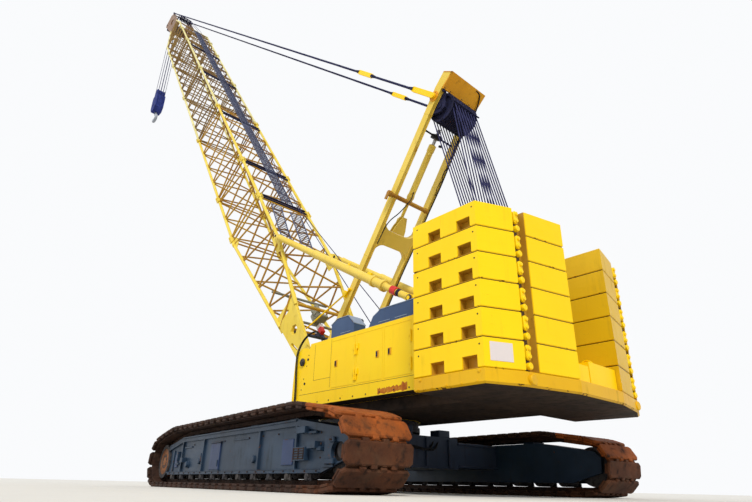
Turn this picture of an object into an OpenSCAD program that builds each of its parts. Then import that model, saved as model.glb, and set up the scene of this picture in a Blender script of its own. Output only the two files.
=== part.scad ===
// Crawler crane with a lattice boom and a live mast.
// Millimetres. +X runs along the boom, +Y to the left, +Z up.
// The origin is on the ground, under the centre of the slew ring.

/* [Stance] */
// angle between the upper works and the tracks, degrees
swing_now = 5; // [0:1:20]
// boom angle above the ground, degrees
boom_angle = 53.4; // [45:0.1:65]
// live mast angle above the ground, counted from the front, degrees
mast_angle = 124.2; // [118:0.1:130]

/* [Tracks] */
// length over both track ends
track_l = 9350; // [8800:10:9800]
// width over both tracks
track_w = 7600; // [7200:10:8000]
// width of one shoe
shoe_w = 1220; // [900:10:1250]
// number of shoes in one track
shoe_n = 58; // [50:1:64]
// height over the top strand
track_h = 1370; // [1300:10:1450]

/* [Upper works] */
// underside of the counterweight tray above the ground
tray_z = 1530; // [1500:5:1600]
// thickness of the tray
tray_t = 233; // [200:1:260]
// height of one counterweight slab
slab_t = 470; // [430:1:490]
// slabs in one stack
slab_n = 6; // [3:1:7]
// half width over the machinery houses
house_hw = 1655; // [1600:5:1750]
// top of the machinery houses above the ground
house_top = 3270; // [3100:10:3350]

/* [Boom] */
// distance from the foot pin to the point sheave shaft
boom_l = 39620; // [39620:3050:42670]
// width over the chord centres
boom_w = 2120; // [2000:10:2200]
// depth over the chord centres
boom_d = 2070; // [1950:10:2200]
// foot pin, forward of the slew axis
pin_x = 1330; // [1200:10:1500]
// foot pin, above the ground
pin_z = 3040; // [2950:10:3150]

/* [Mast] */
// length from the foot pin to the top edge
mast_l = 8400; // [8200:10:8600]

/* [Hidden] */
$fn = 48;
seat = 0.3;                       // gap between a piece and its seat
clear = 6;                        // gap between pieces that move past each other
eps = 1;                          // overshoot of a cut

// tracks and their wheels
track_cy = track_w/2 - shoe_w/2;
shoe_t = 110;                     // from the chain line out to the shoe's face
chain_t = 90;                     // from the chain line in to the wheels
shoe_gap = 12;                    // half of the slot between two shoes
shoe_bevel = 30;
end_r = 490;                      // chain line radius round the end wheels
end_z = end_r + shoe_t;
end_steps = 14;                   // straight pieces in the chain line round an end wheel
end_x = track_l/2 - end_r - shoe_t;
top_x = 3050;                     // where the top strand levels out
top_z = track_h - shoe_t;
slope_a = 81;                     // where the chain leaves an end wheel
end_wheel_r = (end_r - chain_t)*cos((90 + slope_a)/end_steps/2) - seat;
wheel_w = 480;
roller_r = 140;
roller_n = 11;
axle_r = 60;

// side frames
frame_out = track_w/2 - 250;      // outer face
frame_w = 720;
frame_in = frame_out - frame_w;   // inner face
frame_z0 = 280;
frame_z1 = 1120;
frame_top_x = 2800;               // where its top edge bends down
frame_plate = 70;
frame_recess = 45;                // depth of the panels between the ribs of the outer face
flange_top = 110;
flange_low = 60;
rib_t = 50;
rib_x = [-2790, -1410, 1410, 2790];
frame_tail_x = 3700;              // tail end of the panels
frame_tail_z = 980;               // underside of the top flange there
frame_drive_z = 960;              // and at the drive wheel
frame_drive_x = 3800;             // front end of the outer plate, which leaves the drive wheel open
slot_h = 270;                     // slotted hole at the tail end of the outer plate
slot_z = 575;
slot_x = [-4130, -4020];
box_at = [-2990, 570];            // small box on the outer face
box_size = [380, 90, 200];
frame_brackets = [[-3395, 690, 240], [-3050, 930, 260], [2600, 600, 160]];   // x, z and length
pad_t = 1170 - frame_z1 - seat;

// carbody and slew ring
body_z0 = 520;
body_z1 = 1200;
arm_w = 640;
arm_x = 1180;
ring_r = 1250;
ring_in = 900;
deck_z0 = 1550;
ring_gap = 0.5;

// deck
deck_z1 = 1950;
deck_hw = 1250;
side_z0 = 1800;
side_z1 = 2060;
deck_x1 = 1750;
house_x0 = -3130;
house_x1 = 700;
tail_x0 = -5900;
tail_hw = 720;
tail_top = 2150;
tail_split = 235;                 // slot between the two tail blocks
eye_r = 110;                      // lifting eye on the tail

// winch drums and the sheaves at the tail
drum_x = [150, -1100, -2350];
drum_z = 2560;
drum_w = 800;
tail_x = -4700;
tail_z = 2600;
tail_w = 880;
shaft_r = 90;
stand_t = 50;

// counterweight, as plan points of the left side
tray_z1 = tray_z + tray_t;
stack_y0 = 740;
stack_x0 = -4011;
stack_plan = [[stack_x0, stack_y0], [stack_x0, 2568], [-5452, 2568], [-5728, 1901], [-5979, stack_y0]];
slab_groove = 14;
slab_inset = 25;
pocket_w = 290;
pocket_h = 230;
pocket_d = 160;
pocket_x = [-4605, -5260];
tie_y = [1615, stack_plan[3][1]]; // groove in the rear face for the tie
tie_x = -5590;                    // its bottom
tie_w = 130;                      // the tie's width
tie_cy = 1810;
tie_face = -5700;
link_z = 290;                     // a link's centre above its slab's underside
link_h = 230;
link_w = 120;
tie_pin_z = 80;                   // a tie pin above its slab's underside
tie_pin_r = 60;
tie_out = 60;                     // how far links and pins stand off the tie

// houses
wall = 40;
house_y0 = 930;
door_edges = [[-500, -1380], [-1380, -2260], [-2260, -3090]];
hinge_front = [false, true, false];   // a door hinged at its front edge
mullion = 25;                     // from a seam to the opening
door_gap = 6;
door_t = 40;
door_z0 = side_z1 + 50;
door_z1 = house_top - 90;
hinge_out = 20;                   // hinge axis outside the door's face
hinge_in = 2;                     // and inside the edge of the opening
knuckle_r = 14;
knuckle_h = 120;
knuckle_z = [door_z0 + 200, door_z1 - 200 - knuckle_h];

// boom
chord_r = 57;
lace = 64;                        // thickness of a lacing bar
hw = boom_w/2;
hd = boom_d/2;
drop = 150;                       // centre line below the foot pin
foot_l = 7620;
head_l = 7620;
insert_a = 3050;                  // short and long sections between foot and head
insert_b = 6100;
insert_l = [insert_a, insert_b, insert_b, insert_b, boom_l - foot_l - head_l - insert_a - 3*insert_b];
panel_l = 1525;                   // length of one panel of lacing, at most a pair of bars
function insert_start(i) = foot_l + (i == 0 ? 0 : insert_start(i - 1) - foot_l + insert_l[i - 1]);
knee_top = foot_l - 2920;         // where the foot's top chords bend
knee_low = foot_l - 320;          // where its bottom chords bend
head_knee = boom_l - 5970;        // where the head starts to narrow
head_end = boom_l - 2400;         // where the head's chords end in its plates
head_hw = 650;
head_hd = 480;
head_plate = 80;                  // thickness of its end plates
head_beam = 80;                   // square beams between them
head_top = 520;                   // top of the beams above the centre line
head_beams = [50, 1900];          // their places behind the start of the plates
knee_gap = 30;                    // from a bend in a chord to the tubes' ends in the collar
lace_gap = 0.13;                  // share of a panel of the head left free at each end of its lacing
lug_in = 985;                     // inner face of a boom foot lug
lug_out = 1085;
plate_s = 1900;                   // where the foot's chords leave its plates
foot_pin_r = 80;
walk_y = [-620, -120];            // side edges of the walkway
walk_end = 200;
walk_t = 45;
ear_r = 370;
ear_x0 = house_x1 + 20;

// mast
leg_y0 = 560;
leg_y1 = 680;
leg_d = 200;
lug_t = 20;                       // thickness of the pendant bosses on the mast
boss_s = mast_l - 710;            // pins of the pendants
mast_shaft = mast_l - 900;        // sheave shaft
mast_shaft_h = 210;
mast_sheave_r = 400;
mast_pin_r = 70;
head_s = mast_l - 450;            // lower edge of the head's cover plate
cheek_y = 490;                    // inner face of the plates that carry the sheave shaft
arch_s = [3620, 4040];            // the arched plate between the legs, at its middle
arch_wing = 300;                  // how far its ends reach along the legs beyond that
arch_r = 260;
arch_t = 160;
cross_s = 4930;                   // cross tube of the mast
cross_h = 50;
cross_out = 170;                  // how far it stands out on the left
ram_h = -100;
ram_s = arch_s[1] + 930;          // lower end of the ram's tube
ram_gap = 40;                     // from its rod to the sheaves
ram_rod = 440;                    // length of the rod that shows
ram_l = mast_shaft - mast_sheave_r - ram_gap - ram_rod - ram_s;

// backstops
stop_y = 1250;
stop_x = -2700;
stop_z = 3800;
stop_s = foot_l - 3020;                    // its eye on the boom, along and above the foot pin
stop_h = 1000;
stop_v = on_boom(stop_s, stop_h) - [stop_x, stop_z];
stop_a = atan2(stop_v[1], stop_v[0]);
stop_l = norm(stop_v);
stop_tube_r = 112;
stop_foot_r = 80;                 // thinner lower end of the tube
stop_rod_r = 95;
stop_tube_l = 4350;
stop_bore_l = 1530;               // where the tube's bore begins
stop_rod_in = 1500;               // how far the rod reaches into the tube
stop_collars = [1050, 1450];

// pendants
pend_y = leg_y1 + lug_t + 40;
pend_s = boom_l - 620;
pend_h = 450;
pend_r = 34;

// hook block
fall_l = 6500;
block_h = 2000;
block_neck = 560;                 // its narrow upper part
rope_r = 16;
point_r = 400;
point_h = -620;                   // point shaft, from the boom's centre line
point_gap = 50;                   // from its sheaves to the end plates
hook_r = 400;                     // outer radius of the hook's bow
hook_bore = 200;
hook_drop = 520;                  // its centre below the block

// cab
cab_x0 = 850;
cab_x1 = 2750;
cab_y0 = -2430;
cab_y1 = -1380;
cab_z0 = deck_z1;
cab_z1 = 3950;
cab_wall = 50;
glass_t = 12;
door_x0 = 960;
door_x1 = 1700;
cab_knuckle_z = [2300, 3400];

yellow = [0.95, 0.80, 0.05];
steel = [0.45, 0.45, 0.47];
dark = [0.12, 0.13, 0.20];
navy = [0.14, 0.17, 0.26];
rust = [0.50, 0.33, 0.18];
blue = [0.34, 0.42, 0.52];

// points in x and z at distance s along the boom or the mast and h above its pin line
function on_boom(s, h) = [pin_x + s*cos(boom_angle) - h*sin(boom_angle),
    pin_z + s*sin(boom_angle) + h*cos(boom_angle)];
function on_mast(s, h) = [pin_x + s*cos(mast_angle) - h*sin(mast_angle),
    pin_z + s*sin(mast_angle) + h*cos(mast_angle)];

// placing helpers

module lower() {
    rotate([0, 0, -swing_now]) children();
}

module boom_frame() {
    translate([pin_x, 0, pin_z]) rotate([0, -boom_angle, 0]) children();
}

module mast_frame() {
    translate([pin_x, 0, pin_z]) rotate([0, -mast_angle, 0]) children();
}

module stop_frame() {
    translate([stop_x, 0, stop_z]) rotate([0, -stop_a, 0]) children();
}

module both() {
    children();
    mirror([0, 1, 0]) children();
}

// a box by its corners
module box(a, b) {
    translate(a) cube(b - a);
}

// a shape drawn in x and z, pushed along y from y0 to y1
module slab_y(y0, y1) {
    translate([0, y1, 0]) rotate([90, 0, 0]) linear_extrude(y1 - y0) children();
}

// a bar along y
module bar_y(x, z, r, y0, y1) {
    translate([x, y1, z]) rotate([90, 0, 0]) cylinder(r = r, h = y1 - y0);
}

// a tube along x
module bar_x(x0, x1, y, z, r) {
    translate([x0, y, z]) rotate([0, 90, 0]) cylinder(r = r, h = x1 - x0);
}

// a square bar between two points
module strut(p, q, w) {
    v = q - p;
    l = norm(v);
    translate(p) rotate([0, acos(v[2]/l), atan2(v[1], v[0])])
        translate([-w/2, -w/2, 0]) cube([w, w, l]);
}

// a round bar between two points, turned so that its surface's seam stays clear of the lacing
module round_strut(p, q, r) {
    v = q - p;
    l = norm(v);
    translate(p) rotate([0, acos(v[2]/l), atan2(v[1], v[0])]) rotate([0, 0, 45]) cylinder(r = r, h = l);
}

// tracks

function arc(cx, cz, r, a0, a1, n) = [for (i = [0:n]) let(a = a0 + (a1 - a0)*i/n)
    [cx + r*cos(a), cz + r*sin(a)]];

function chain_line(r, t) = concat(
    arc(end_x, end_z, r, -90, slope_a, end_steps),
    [[top_x, t], [-top_x, t]],
    arc(-end_x, end_z, r, 180 - slope_a, 270, end_steps));

function closed(p) = concat(p, [p[0]]);
function path_l(p, i = 0) = i == len(p) - 1 ? 0 : norm(p[i + 1] - p[i]) + path_l(p, i + 1);

// point on a path at distance s, pushed outwards by o
function on_path(p, s, o, i = 0) = let(v = p[i + 1] - p[i], d = norm(v))
    s <= d || i == len(p) - 2 ? p[i] + v*s/d + [v[1], -v[0]]*o/d : on_path(p, s - d, o, i + 1);

module track_outline() {
    line = closed(chain_line(end_r, top_z));
    pitch = path_l(line)/shoe_n;
    outer = [for (i = [0:shoe_n - 1], c = [[shoe_gap, shoe_t - 70], [shoe_gap + shoe_bevel, shoe_t],
        [pitch - shoe_gap - shoe_bevel, shoe_t], [pitch - shoe_gap, shoe_t - 70]])
        on_path(line, i*pitch + c[0], c[1])];
    inner = chain_line(end_r - chain_t, top_z - chain_t);
    polygon(concat(outer, inner), [[for (i = [0:len(outer) - 1]) i],
        [for (i = [0:len(inner) - 1]) len(outer) + i]]);
}

module track(side) {
    color(rust) lower() translate([0, side*track_cy, 0]) slab_y(-shoe_w/2, shoe_w/2) track_outline();
}

module wheels(side) {
    reach = frame_w/2 - frame_plate - seat;
    color(steel) lower() translate([0, side*track_cy, 0]) {
        for (x = [-end_x, end_x]) {
            bar_y(x, end_z, end_wheel_r, -wheel_w/2, wheel_w/2);
            bar_y(x, end_z, 2*axle_r, -reach, reach);
        }
        mirror([0, side < 0 ? 1 : 0, 0]) difference() {
            bar_y(end_x, end_z, end_wheel_r, 0, frame_w/2);
            bar_y(end_x, end_z, end_wheel_r - 90, frame_w/2 - 60, frame_w);
        }
        mirror([0, side < 0 ? 1 : 0, 0]) bar_y(end_x, end_z, 170, 0, frame_w/2 - 10);
        for (i = [0:roller_n - 1]) {
            x = -3250 + i*6500/(roller_n - 1);
            z = shoe_t + chain_t + roller_r + seat;
            bar_y(x, z, roller_r, -wheel_w/2 + 30, wheel_w/2 - 30);
            bar_y(x, z, axle_r, -reach, reach);
        }
    }
}

// lower works

// the side frame seen from the side
module frame_profile() {
    polygon([[-4300, 470], [-3600, frame_z0], [3600, frame_z0], [4300, 470],
        [4340, 760], [4180, 900], [frame_top_x, frame_z1], [-frame_top_x, frame_z1], [-4180, 900], [-4340, 760]]);
}

// the panels between the flanges and the ribs of the outer face
module frame_panels() {
    difference() {
        polygon([[-frame_tail_x, frame_z0 + flange_low], [frame_drive_x - rib_t, frame_z0 + flange_low],
            [frame_drive_x - rib_t, frame_drive_z - flange_top], [frame_top_x, frame_z1 - flange_top],
            [-frame_top_x, frame_z1 - flange_top], [-frame_tail_x, frame_tail_z - flange_top]]);
        for (x = rib_x) translate([x - rib_t/2, 0]) square([rib_t, frame_z1]);
    }
}

module side_frame(side) {
    half = frame_w/2;
    color(blue) lower() translate([0, side*track_cy, 0]) {
        difference() {
            slab_y(-half, half) frame_profile();
            for (s = [-1, 1])
                box([s*3960 - 430, -half + frame_plate, 0], [s*3960 + 430, half - frame_plate, 1300]);
            box([-3540, -half + frame_plate, 0], [3540, half - frame_plate, 520]);
            mirror([0, side < 0 ? 1 : 0, 0]) {
                slab_y(half - frame_recess, half + eps) frame_panels();
                box([frame_drive_x, half - frame_plate - eps, 0], [5000, half + eps, 1300]);
                slab_y(half - frame_plate - eps, half + eps) {
                    translate([end_x, end_z]) circle(r = end_r - chain_t + clear);
                    for (x = slot_x) translate([x, slot_z]) circle(r = slot_h/2);
                    translate([slot_x[0], slot_z - slot_h/2]) square([slot_x[1] - slot_x[0], slot_h]);
                }
            }
        }
        for (x = [-2400, -800, 800, 2400])
            box([x - 150, -200, frame_z1 - 2], [x + 150, 200, frame_z1 + pad_t]);
        mirror([0, side < 0 ? 1 : 0, 0]) {
            translate([box_at[0] - box_size[0]/2, half - frame_recess - 1, box_at[1] - box_size[2]/2])
                cube([box_size[0], box_size[1], box_size[2]]);
            for (b = frame_brackets) translate([b[0] - b[2]/2, half - frame_recess - 1, b[1] - 50])
                cube([b[2], 110, 100]);
        }
    }
}

module side_frame_left() { side_frame(1); }
module side_frame_right() { side_frame(-1); }
module track_left() { track(1); }
module track_right() { track(-1); }
module wheels_left() { wheels(1); }
module wheels_right() { wheels(-1); }

module carbody() {
    color(navy) lower() {
        box([-1500, -1500, body_z0], [1500, 1500, body_z1]);
        for (s = [-1, 1])
            box([s*arm_x - arm_w/2, -frame_in + seat, body_z0 + 60],
                [s*arm_x + arm_w/2, frame_in - seat, body_z1 - 120]);
    }
}

module slew_ring() {
    color(steel) lower() difference() {
        translate([0, 0, body_z1 + seat]) cylinder(r = ring_r, h = deck_z0 - ring_gap - body_z1 - seat);
        translate([0, 0, body_z1 - eps]) cylinder(r = ring_in, h = deck_z0);
    }
}

// upper works

module deck() {
    color(yellow) {
        box([stack_x0 + 10, -deck_hw, deck_z0], [deck_x1, deck_hw, deck_z1]);
        both() box([house_x0, deck_hw - eps, side_z0], [house_x1, house_hw, side_z1 - seat]);
        difference() {
            box([tail_x0, -tail_hw, tray_z1 + seat], [stack_x0 + 10 + eps, tail_hw, tail_top]);
            box([tail_x0 - eps, tail_split, tray_z1], [tail_x0 + 400, tail_split + 40, tail_top + eps]);
            box([tail_x0 - eps, tail_split, tail_top - 90], [tail_x0 + 400, tail_hw + eps, tail_top + eps]);
        }
        slab_y(-130, -70) difference() {
            translate([tail_x0 + 200, tail_top]) circle(r = eye_r);
            translate([tail_x0 + 200, tail_top + 40]) circle(r = eye_r/2);
        }
        slab_y(480, 540) translate([tail_x0 + 200, tail_top - 90]) circle(r = eye_r);
        box([cab_x0 - 50, cab_y0 - 20, side_z0], [cab_x1 + 50, -deck_hw + eps, cab_z0 - seat]);
        for (x = drum_x) stands(x, drum_z, deck_z1, drum_w/2 + clear);
        stands(tail_x, tail_z, tail_top, tail_w/2 + clear);
    }
}

// two bearing stands of a shaft, the inner faces at y
module stands(x, z, foot_z, y) {
    both() slab_y(y, y + stand_t) difference() {
        union() {
            translate([x, z]) circle(r = 170);
            polygon([[x - 330, foot_z - 10], [x + 330, foot_z - 10], [x + 150, z], [x - 150, z]]);
        }
        translate([x, z]) circle(r = shaft_r + seat);
    }
}

module ear(y0, y1) {
    difference() {
        union() {
            bar_y(pin_x, pin_z, ear_r, y0, y1);
            slab_y(y0, y1) polygon([[pin_x - ear_r, pin_z], [pin_x + ear_r, pin_z],
                [deck_x1 - 20, 2500], [deck_x1 - 20, deck_z1 + seat], [ear_x0, deck_z1 + seat], [ear_x0 + 40, 2300]]);
        }
        bar_y(pin_x, pin_z, foot_pin_r + seat, y0 - eps, y1 + eps);
    }
}

module boom_brackets() {
    color(yellow) both() {
        ear(lug_out + clear, lug_out + clear + 90);
        ear(lug_in - clear - 70, lug_in - clear);
        ear(leg_y1 + clear, leg_y1 + clear + 60);
        ear(leg_y0 - clear - 60, leg_y0 - clear);
        box([ear_x0, leg_y0 - clear - 60, deck_z1 + seat], [ear_x0 + 80, lug_out + clear + 90, 2300]);
    }
}

module foot_pins() {
    color(steel) both() bar_y(pin_x, pin_z, foot_pin_r, leg_y0 - clear - 80, lug_out + clear + 130);
}

module weight_tray() {
    plan = stack_plan;
    color(yellow) translate([0, 0, tray_z]) linear_extrude(tray_t)
        polygon([[stack_x0, -plan[1][1]], [plan[2][0], -plan[2][1]], [plan[3][0], -plan[3][1]],
            [plan[4][0], -plan[4][1]], plan[4], plan[3], plan[2], plan[1]]);
}

module stack() {
    color(yellow) difference() {
        translate([0, 0, tray_z1 + seat]) linear_extrude(slab_n*slab_t - seat) polygon(stack_plan);
        for (i = [1:slab_n - 1]) translate([0, 0, tray_z1 + i*slab_t - slab_groove/2])
            linear_extrude(slab_groove) difference() {
                polygon([[-3000, 0], [-3000, 4000], [-7000, 4000], [-7000, 0]]);
                polygon([for (p = stack_plan) [p[0]*0.97 - 150, 740 + (p[1] - 740)*0.95 + 40]]);
            }
        for (i = [0:slab_n - 1], x = pocket_x)
            box([x - pocket_w/2, 2568 - pocket_d, tray_z1 + i*slab_t - eps],
                [x + pocket_w/2, 2700, tray_z1 + i*slab_t + pocket_h]);
        box([-6200, tie_y[0], tray_z1], [tie_x, tie_y[1], tray_z1 + slab_n*slab_t + eps]);
    }
    color(yellow) tie();
}

// the tie in the groove of a stack: a strip with a pin and a link to each slab
module tie() {
    box([tie_face, tie_cy - tie_w/2, tray_z1 + seat], [tie_x + eps, tie_cy + tie_w/2, tray_z1 + slab_n*slab_t - 60]);
    for (i = [0:slab_n - 1]) translate([0, 0, tray_z1 + i*slab_t]) {
        bar_x(tie_face - tie_out, tie_face + eps, tie_cy, tie_pin_z, tie_pin_r);
        for (s = [-1, 1])
            bar_x(tie_face - tie_out, tie_face + eps, tie_cy, link_z + s*(link_h - link_w)/2, link_w/2);
        box([tie_face - tie_out, tie_cy - link_w/2, link_z - (link_h - link_w)/2],
            [tie_face + eps, tie_cy + link_w/2, link_z + (link_h - link_w)/2]);
    }
}

module weights_left() { stack(); }
module weights_right() { mirror([0, 1, 0]) stack(); }

// machinery houses

house_side = [[house_x0, side_z1], [house_x1, side_z1], [340, house_top], [house_x0, house_top]];

module house() {
    color(yellow) difference() {
        slab_y(house_y0, house_hw) polygon(house_side);
        slab_y(house_y0 + wall, house_hw - wall) polygon([[house_x0 + wall, side_z1 + wall],
            [house_x1 - 60, side_z1 + wall], [310, house_top - wall], [house_x0 + wall, house_top - wall]]);
        for (e = door_edges)
            box([e[1] + mullion, house_hw - wall - eps, door_z0], [e[0] - mullion, house_hw + eps, door_z1]);
    }
    color(yellow) for (i = [0:len(door_edges) - 1], z = knuckle_z) translate([0, 0, -knuckle_h - seat])
        knuckle(i, z, -1);
}

// x of a door's hinge, and the way from it into the door
function hinge_x(i) = hinge_front[i] ? door_edges[i][0] - mullion - hinge_in : door_edges[i][1] + mullion + hinge_in;
function hinge_way(i) = hinge_front[i] ? -1 : 1;

// a round knuckle and its leaf, which reaches into the door (side 1) or onto the post (side -1)
module knuckle(i, z, side) {
    x = hinge_x(i);
    d = side*hinge_way(i);
    reach = side > 0 ? 50 : 15;
    translate([x, house_hw + hinge_out, z]) cylinder(r = knuckle_r, h = knuckle_h);
    box([min(x, x + d*reach), house_hw - 2, z], [max(x, x + d*reach), house_hw + hinge_out + 6, z + knuckle_h]);
}

module house_left() { house(); }
module house_right() { mirror([0, 1, 0]) house(); }

module door(i) {
    e = door_edges[i];
    inset = mullion + door_gap;
    color(yellow) {
        box([e[1] + inset, house_hw - door_t, door_z0 + door_gap], [e[0] - inset, house_hw, door_z1 - door_gap]);
        for (z = knuckle_z) knuckle(i, z, 1);
    }
}

module door_left_1() { door(0); }
module door_left_2() { door(1); }
module door_left_3() { door(2); }
module door_right_1() { mirror([0, 1, 0]) door(0); }
module door_right_2() { mirror([0, 1, 0]) door(1); }
module door_right_3() { mirror([0, 1, 0]) door(2); }

module engine() {
    color(steel) box([-2300, -1560, side_z1 + wall + seat], [-700, -1000, 3050]);
}

module roof_boxes() {
    color(blue) {
        box([-1210, 1240, house_top + seat], [-380, 1620, 3730]);
        slab_y(1240, 1620) polygon([[-3100, house_top + seat], [-1700, house_top + seat],
            [-1850, 3520], [-2050, 3640], [-3100, 3640]]);
    }
}

module backstop_posts() {
    color(yellow) both() {
        difference() {
            union() {
                slab_y(house_y0 - 80, house_y0 - 10) polygon([[stop_x - 300, deck_z1 + seat], [stop_x + 600, deck_z1 + seat],
                    [stop_x + 160, stop_z], [stop_x - 160, stop_z]]);
                bar_y(stop_x, stop_z, 160, house_y0 - 80, house_y0 - 10);
            }
            bar_y(stop_x, stop_z, 45 + seat, 0, 2000);
        }
        bar_y(stop_x, stop_z, 45, house_y0 - 100, stop_y + 130);
    }
}

// cab

module cab_shell() {
    color(yellow) difference() {
        box([cab_x0, cab_y0, cab_z0], [cab_x1, cab_y1, cab_z1]);
        box([cab_x0 + cab_wall, cab_y0 + cab_wall, cab_z0 + cab_wall],
            [cab_x1 - cab_wall, cab_y1 - cab_wall, cab_z1 - cab_wall]);
        // windscreen, rear, left, right front, roof
        box([cab_x1 - 100, cab_y0 + 110, 2350], [cab_x1 + 100, cab_y1 - 110, cab_z1 - 120]);
        box([cab_x0 - 100, cab_y0 + 150, 2900], [cab_x0 + 100, cab_y1 - 150, cab_z1 - 150]);
        box([1000, cab_y1 - 100, 2750], [cab_x1 - 150, cab_y1 + 100, cab_z1 - 150]);
        box([1820, cab_y0 - 100, 2450], [cab_x1 - 130, cab_y0 + 100, cab_z1 - 150]);
        box([1900, cab_y0 + 180, cab_z1 - 100], [2550, cab_y1 - 180, cab_z1 + 100]);
        box([door_x0 - 6, cab_y0 - 100, 2010], [door_x1 + 6, cab_y0 + 100, 3806]);
    }
    color(yellow) for (z = cab_knuckle_z) translate([0, 0, z - knuckle_h - seat]) {
        translate([door_x0 - 3, cab_y0 - hinge_out, 0]) cylinder(r = knuckle_r, h = knuckle_h);
        box([door_x0 - 50, cab_y0 - hinge_out - 6, 0], [door_x0 - 3, cab_y0 + 2, knuckle_h]);
    }
}

module cab_glass() {
    color([0.3, 0.4, 0.45, 0.5]) {
        box([cab_x1 - 30, cab_y0 + 110 + seat, 2350 + seat],
            [cab_x1 - 30 + glass_t, cab_y1 - 110 - seat, cab_z1 - 120 - seat]);
        box([cab_x0 + 15, cab_y0 + 150 + seat, 2900 + seat],
            [cab_x0 + 15 + glass_t, cab_y1 - 150 - seat, cab_z1 - 150 - seat]);
        box([1000 + seat, cab_y1 - 30, 2750 + seat],
            [cab_x1 - 150 - seat, cab_y1 - 30 + glass_t, cab_z1 - 150 - seat]);
        box([1820 + seat, cab_y0 + 15, 2450 + seat],
            [cab_x1 - 130 - seat, cab_y0 + 15 + glass_t, cab_z1 - 150 - seat]);
        box([1900 + seat, cab_y0 + 180 + seat, cab_z1 - 30],
            [2550 - seat, cab_y1 - 180 - seat, cab_z1 - 30 + glass_t]);
    }
}

module cab_seat() {
    color(dark) {
        box([1150, -2130, cab_z0 + cab_wall + seat], [1650, -1680, 2420]);
        box([1150, -2130, 2400], [1280, -1680, 3100]);
        box([1150, -1660, 2300], [1750, -1500, 2600]);
        box([1150, -1700, 2300], [1750, -1650, 2400]);
    }
}

module cab_door() {
    color(yellow) {
        difference() {
            box([door_x0, cab_y0, 2016], [door_x1, cab_y0 + 40, 3800]);
            box([door_x0 + 90, cab_y0 - 50, 2750], [door_x1 - 90, cab_y0 + 100, 3710]);
        }
        for (z = cab_knuckle_z) {
            translate([door_x0 - 3, cab_y0 - hinge_out, z]) cylinder(r = knuckle_r, h = knuckle_h);
            box([door_x0 - 3, cab_y0 - hinge_out - 6, z], [door_x0 + 50, cab_y0 + 2, z + knuckle_h]);
        }
    }
}

module cab_door_glass() {
    color([0.3, 0.4, 0.45, 0.5]) box([door_x0 + 90 + seat, cab_y0 + 14, 2750 + seat],
        [door_x1 - 90 - seat, cab_y0 + 14 + glass_t, 3710 - seat]);
}

// winches

module drum(x, r) {
    color(dark) {
        bar_y(x, drum_z, r, -drum_w/2, drum_w/2);
        both() bar_y(x, drum_z, r + 150, drum_w/2 - 40, drum_w/2);
        bar_y(x, drum_z, shaft_r, -drum_w/2 - clear - stand_t, drum_w/2 + clear + stand_t);
    }
}

module main_drum() { drum(drum_x[0], 300); }
module second_drum() { drum(drum_x[1], 300); }
module mast_drum() { drum(drum_x[2], 260); }

module sheave_pack(x, z, r, y0, y1, n) {
    pitch = (y1 - y0)/n;
    for (i = [0:n - 1]) bar_y(x, z, r, y0 + i*pitch + pitch*0.12, y0 + (i + 1)*pitch - pitch*0.12);
    bar_y(x, z, r*0.35, y0, y1);
}

module tail_sheaves() {
    color(dark) {
        sheave_pack(tail_x, tail_z, 330, -tail_w/2, tail_w/2, 8);
        bar_y(tail_x, tail_z, shaft_r, -tail_w/2 - clear - stand_t, tail_w/2 + clear + stand_t);
    }
}

// boom

// centre of the circle inside a triangle, and its radius
function mid_of(t) = let(a = norm(t[1] - t[2]), b = norm(t[2] - t[0]), c = norm(t[0] - t[1]))
    (t[0]*a + t[1]*b + t[2]*c)/(a + b + c);
function rad_of(t) = let(a = norm(t[1] - t[2]), b = norm(t[2] - t[0]), c = norm(t[0] - t[1]))
    abs((t[1][0] - t[0][0])*(t[2][1] - t[0][1]) - (t[2][0] - t[0][0])*(t[1][1] - t[0][1]))/(a + b + c);
function shrunk(t, d) = let(m = mid_of(t), k = 1 - d/rad_of(t)) [for (p = t) m + (p - m)*k];

// a flat zigzag of bars between the lines a0-a1 and b0-b1, in n panels
module zigzag(a0, a1, b0, b1, n) {
    at = [for (k = [0:n]) k%2 == 0 ? a0 + (a1 - a0)*k/n : b0 + (b1 - b0)*k/n];
    first = [a0, at[1], b0];
    last = n%2 == 0 ? [a1, at[n - 1], b1] : [b1, at[n - 1], a1];
    holes = concat([shrunk(first, lace/2)], [for (k = [1:n - 1]) shrunk([at[k - 1], at[k], at[k + 1]], lace/2)],
        [shrunk(last, lace/2)]);
    polygon(concat([a0, a1, b1, b0], [for (h = holes, p = h) p]),
        concat([[0, 1, 2, 3]], [for (k = [0:len(holes) - 1]) [4 + 3*k, 5 + 3*k, 6 + 3*k]]));
}

module side_face(a0, a1, b0, b1, n) {
    both() slab_y(hw - lace/2, hw + lace/2) zigzag(a0, a1, b0, b1, n);
}

// a face across the boom, from p to q in the side view
module cross_face(p, q, n) {
    l = norm(q - p);
    translate([p[0], 0, p[1]]) rotate([0, -atan2(q[1] - p[1], q[0] - p[0]), 0])
        translate([0, 0, -lace/2]) linear_extrude(lace) zigzag([0, -hw], [l, -hw], [0, hw], [l, hw], n);
}

module chord(p, q) {
    both() round_strut([p[0], hw, p[1]], [q[0], hw, q[1]], chord_r);
}

// a collar over the place where two lengths of chord meet
module collar(s, h) {
    both() bar_x(s - 90, s + 90, hw, h, 82);
}

module insert_section(i) {
    s0 = insert_start(i) + seat/2;
    s1 = s0 + insert_l[i] - seat;
    n = round(insert_l[i]/panel_l)*2;
    color(yellow) boom_frame() translate([0, 0, -drop]) {
        for (h = [-hd, hd]) {
            chord([s0, h], [s1, h]);
            cross_face([s0, h], [s1, h], n);
            both() for (x = [s0, s1 - 160]) bar_x(x, x + 160, hw, h, 82);
        }
        side_face([s0, -hd], [s1, -hd], [s0, hd], [s1, hd], n);
    }
}

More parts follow.
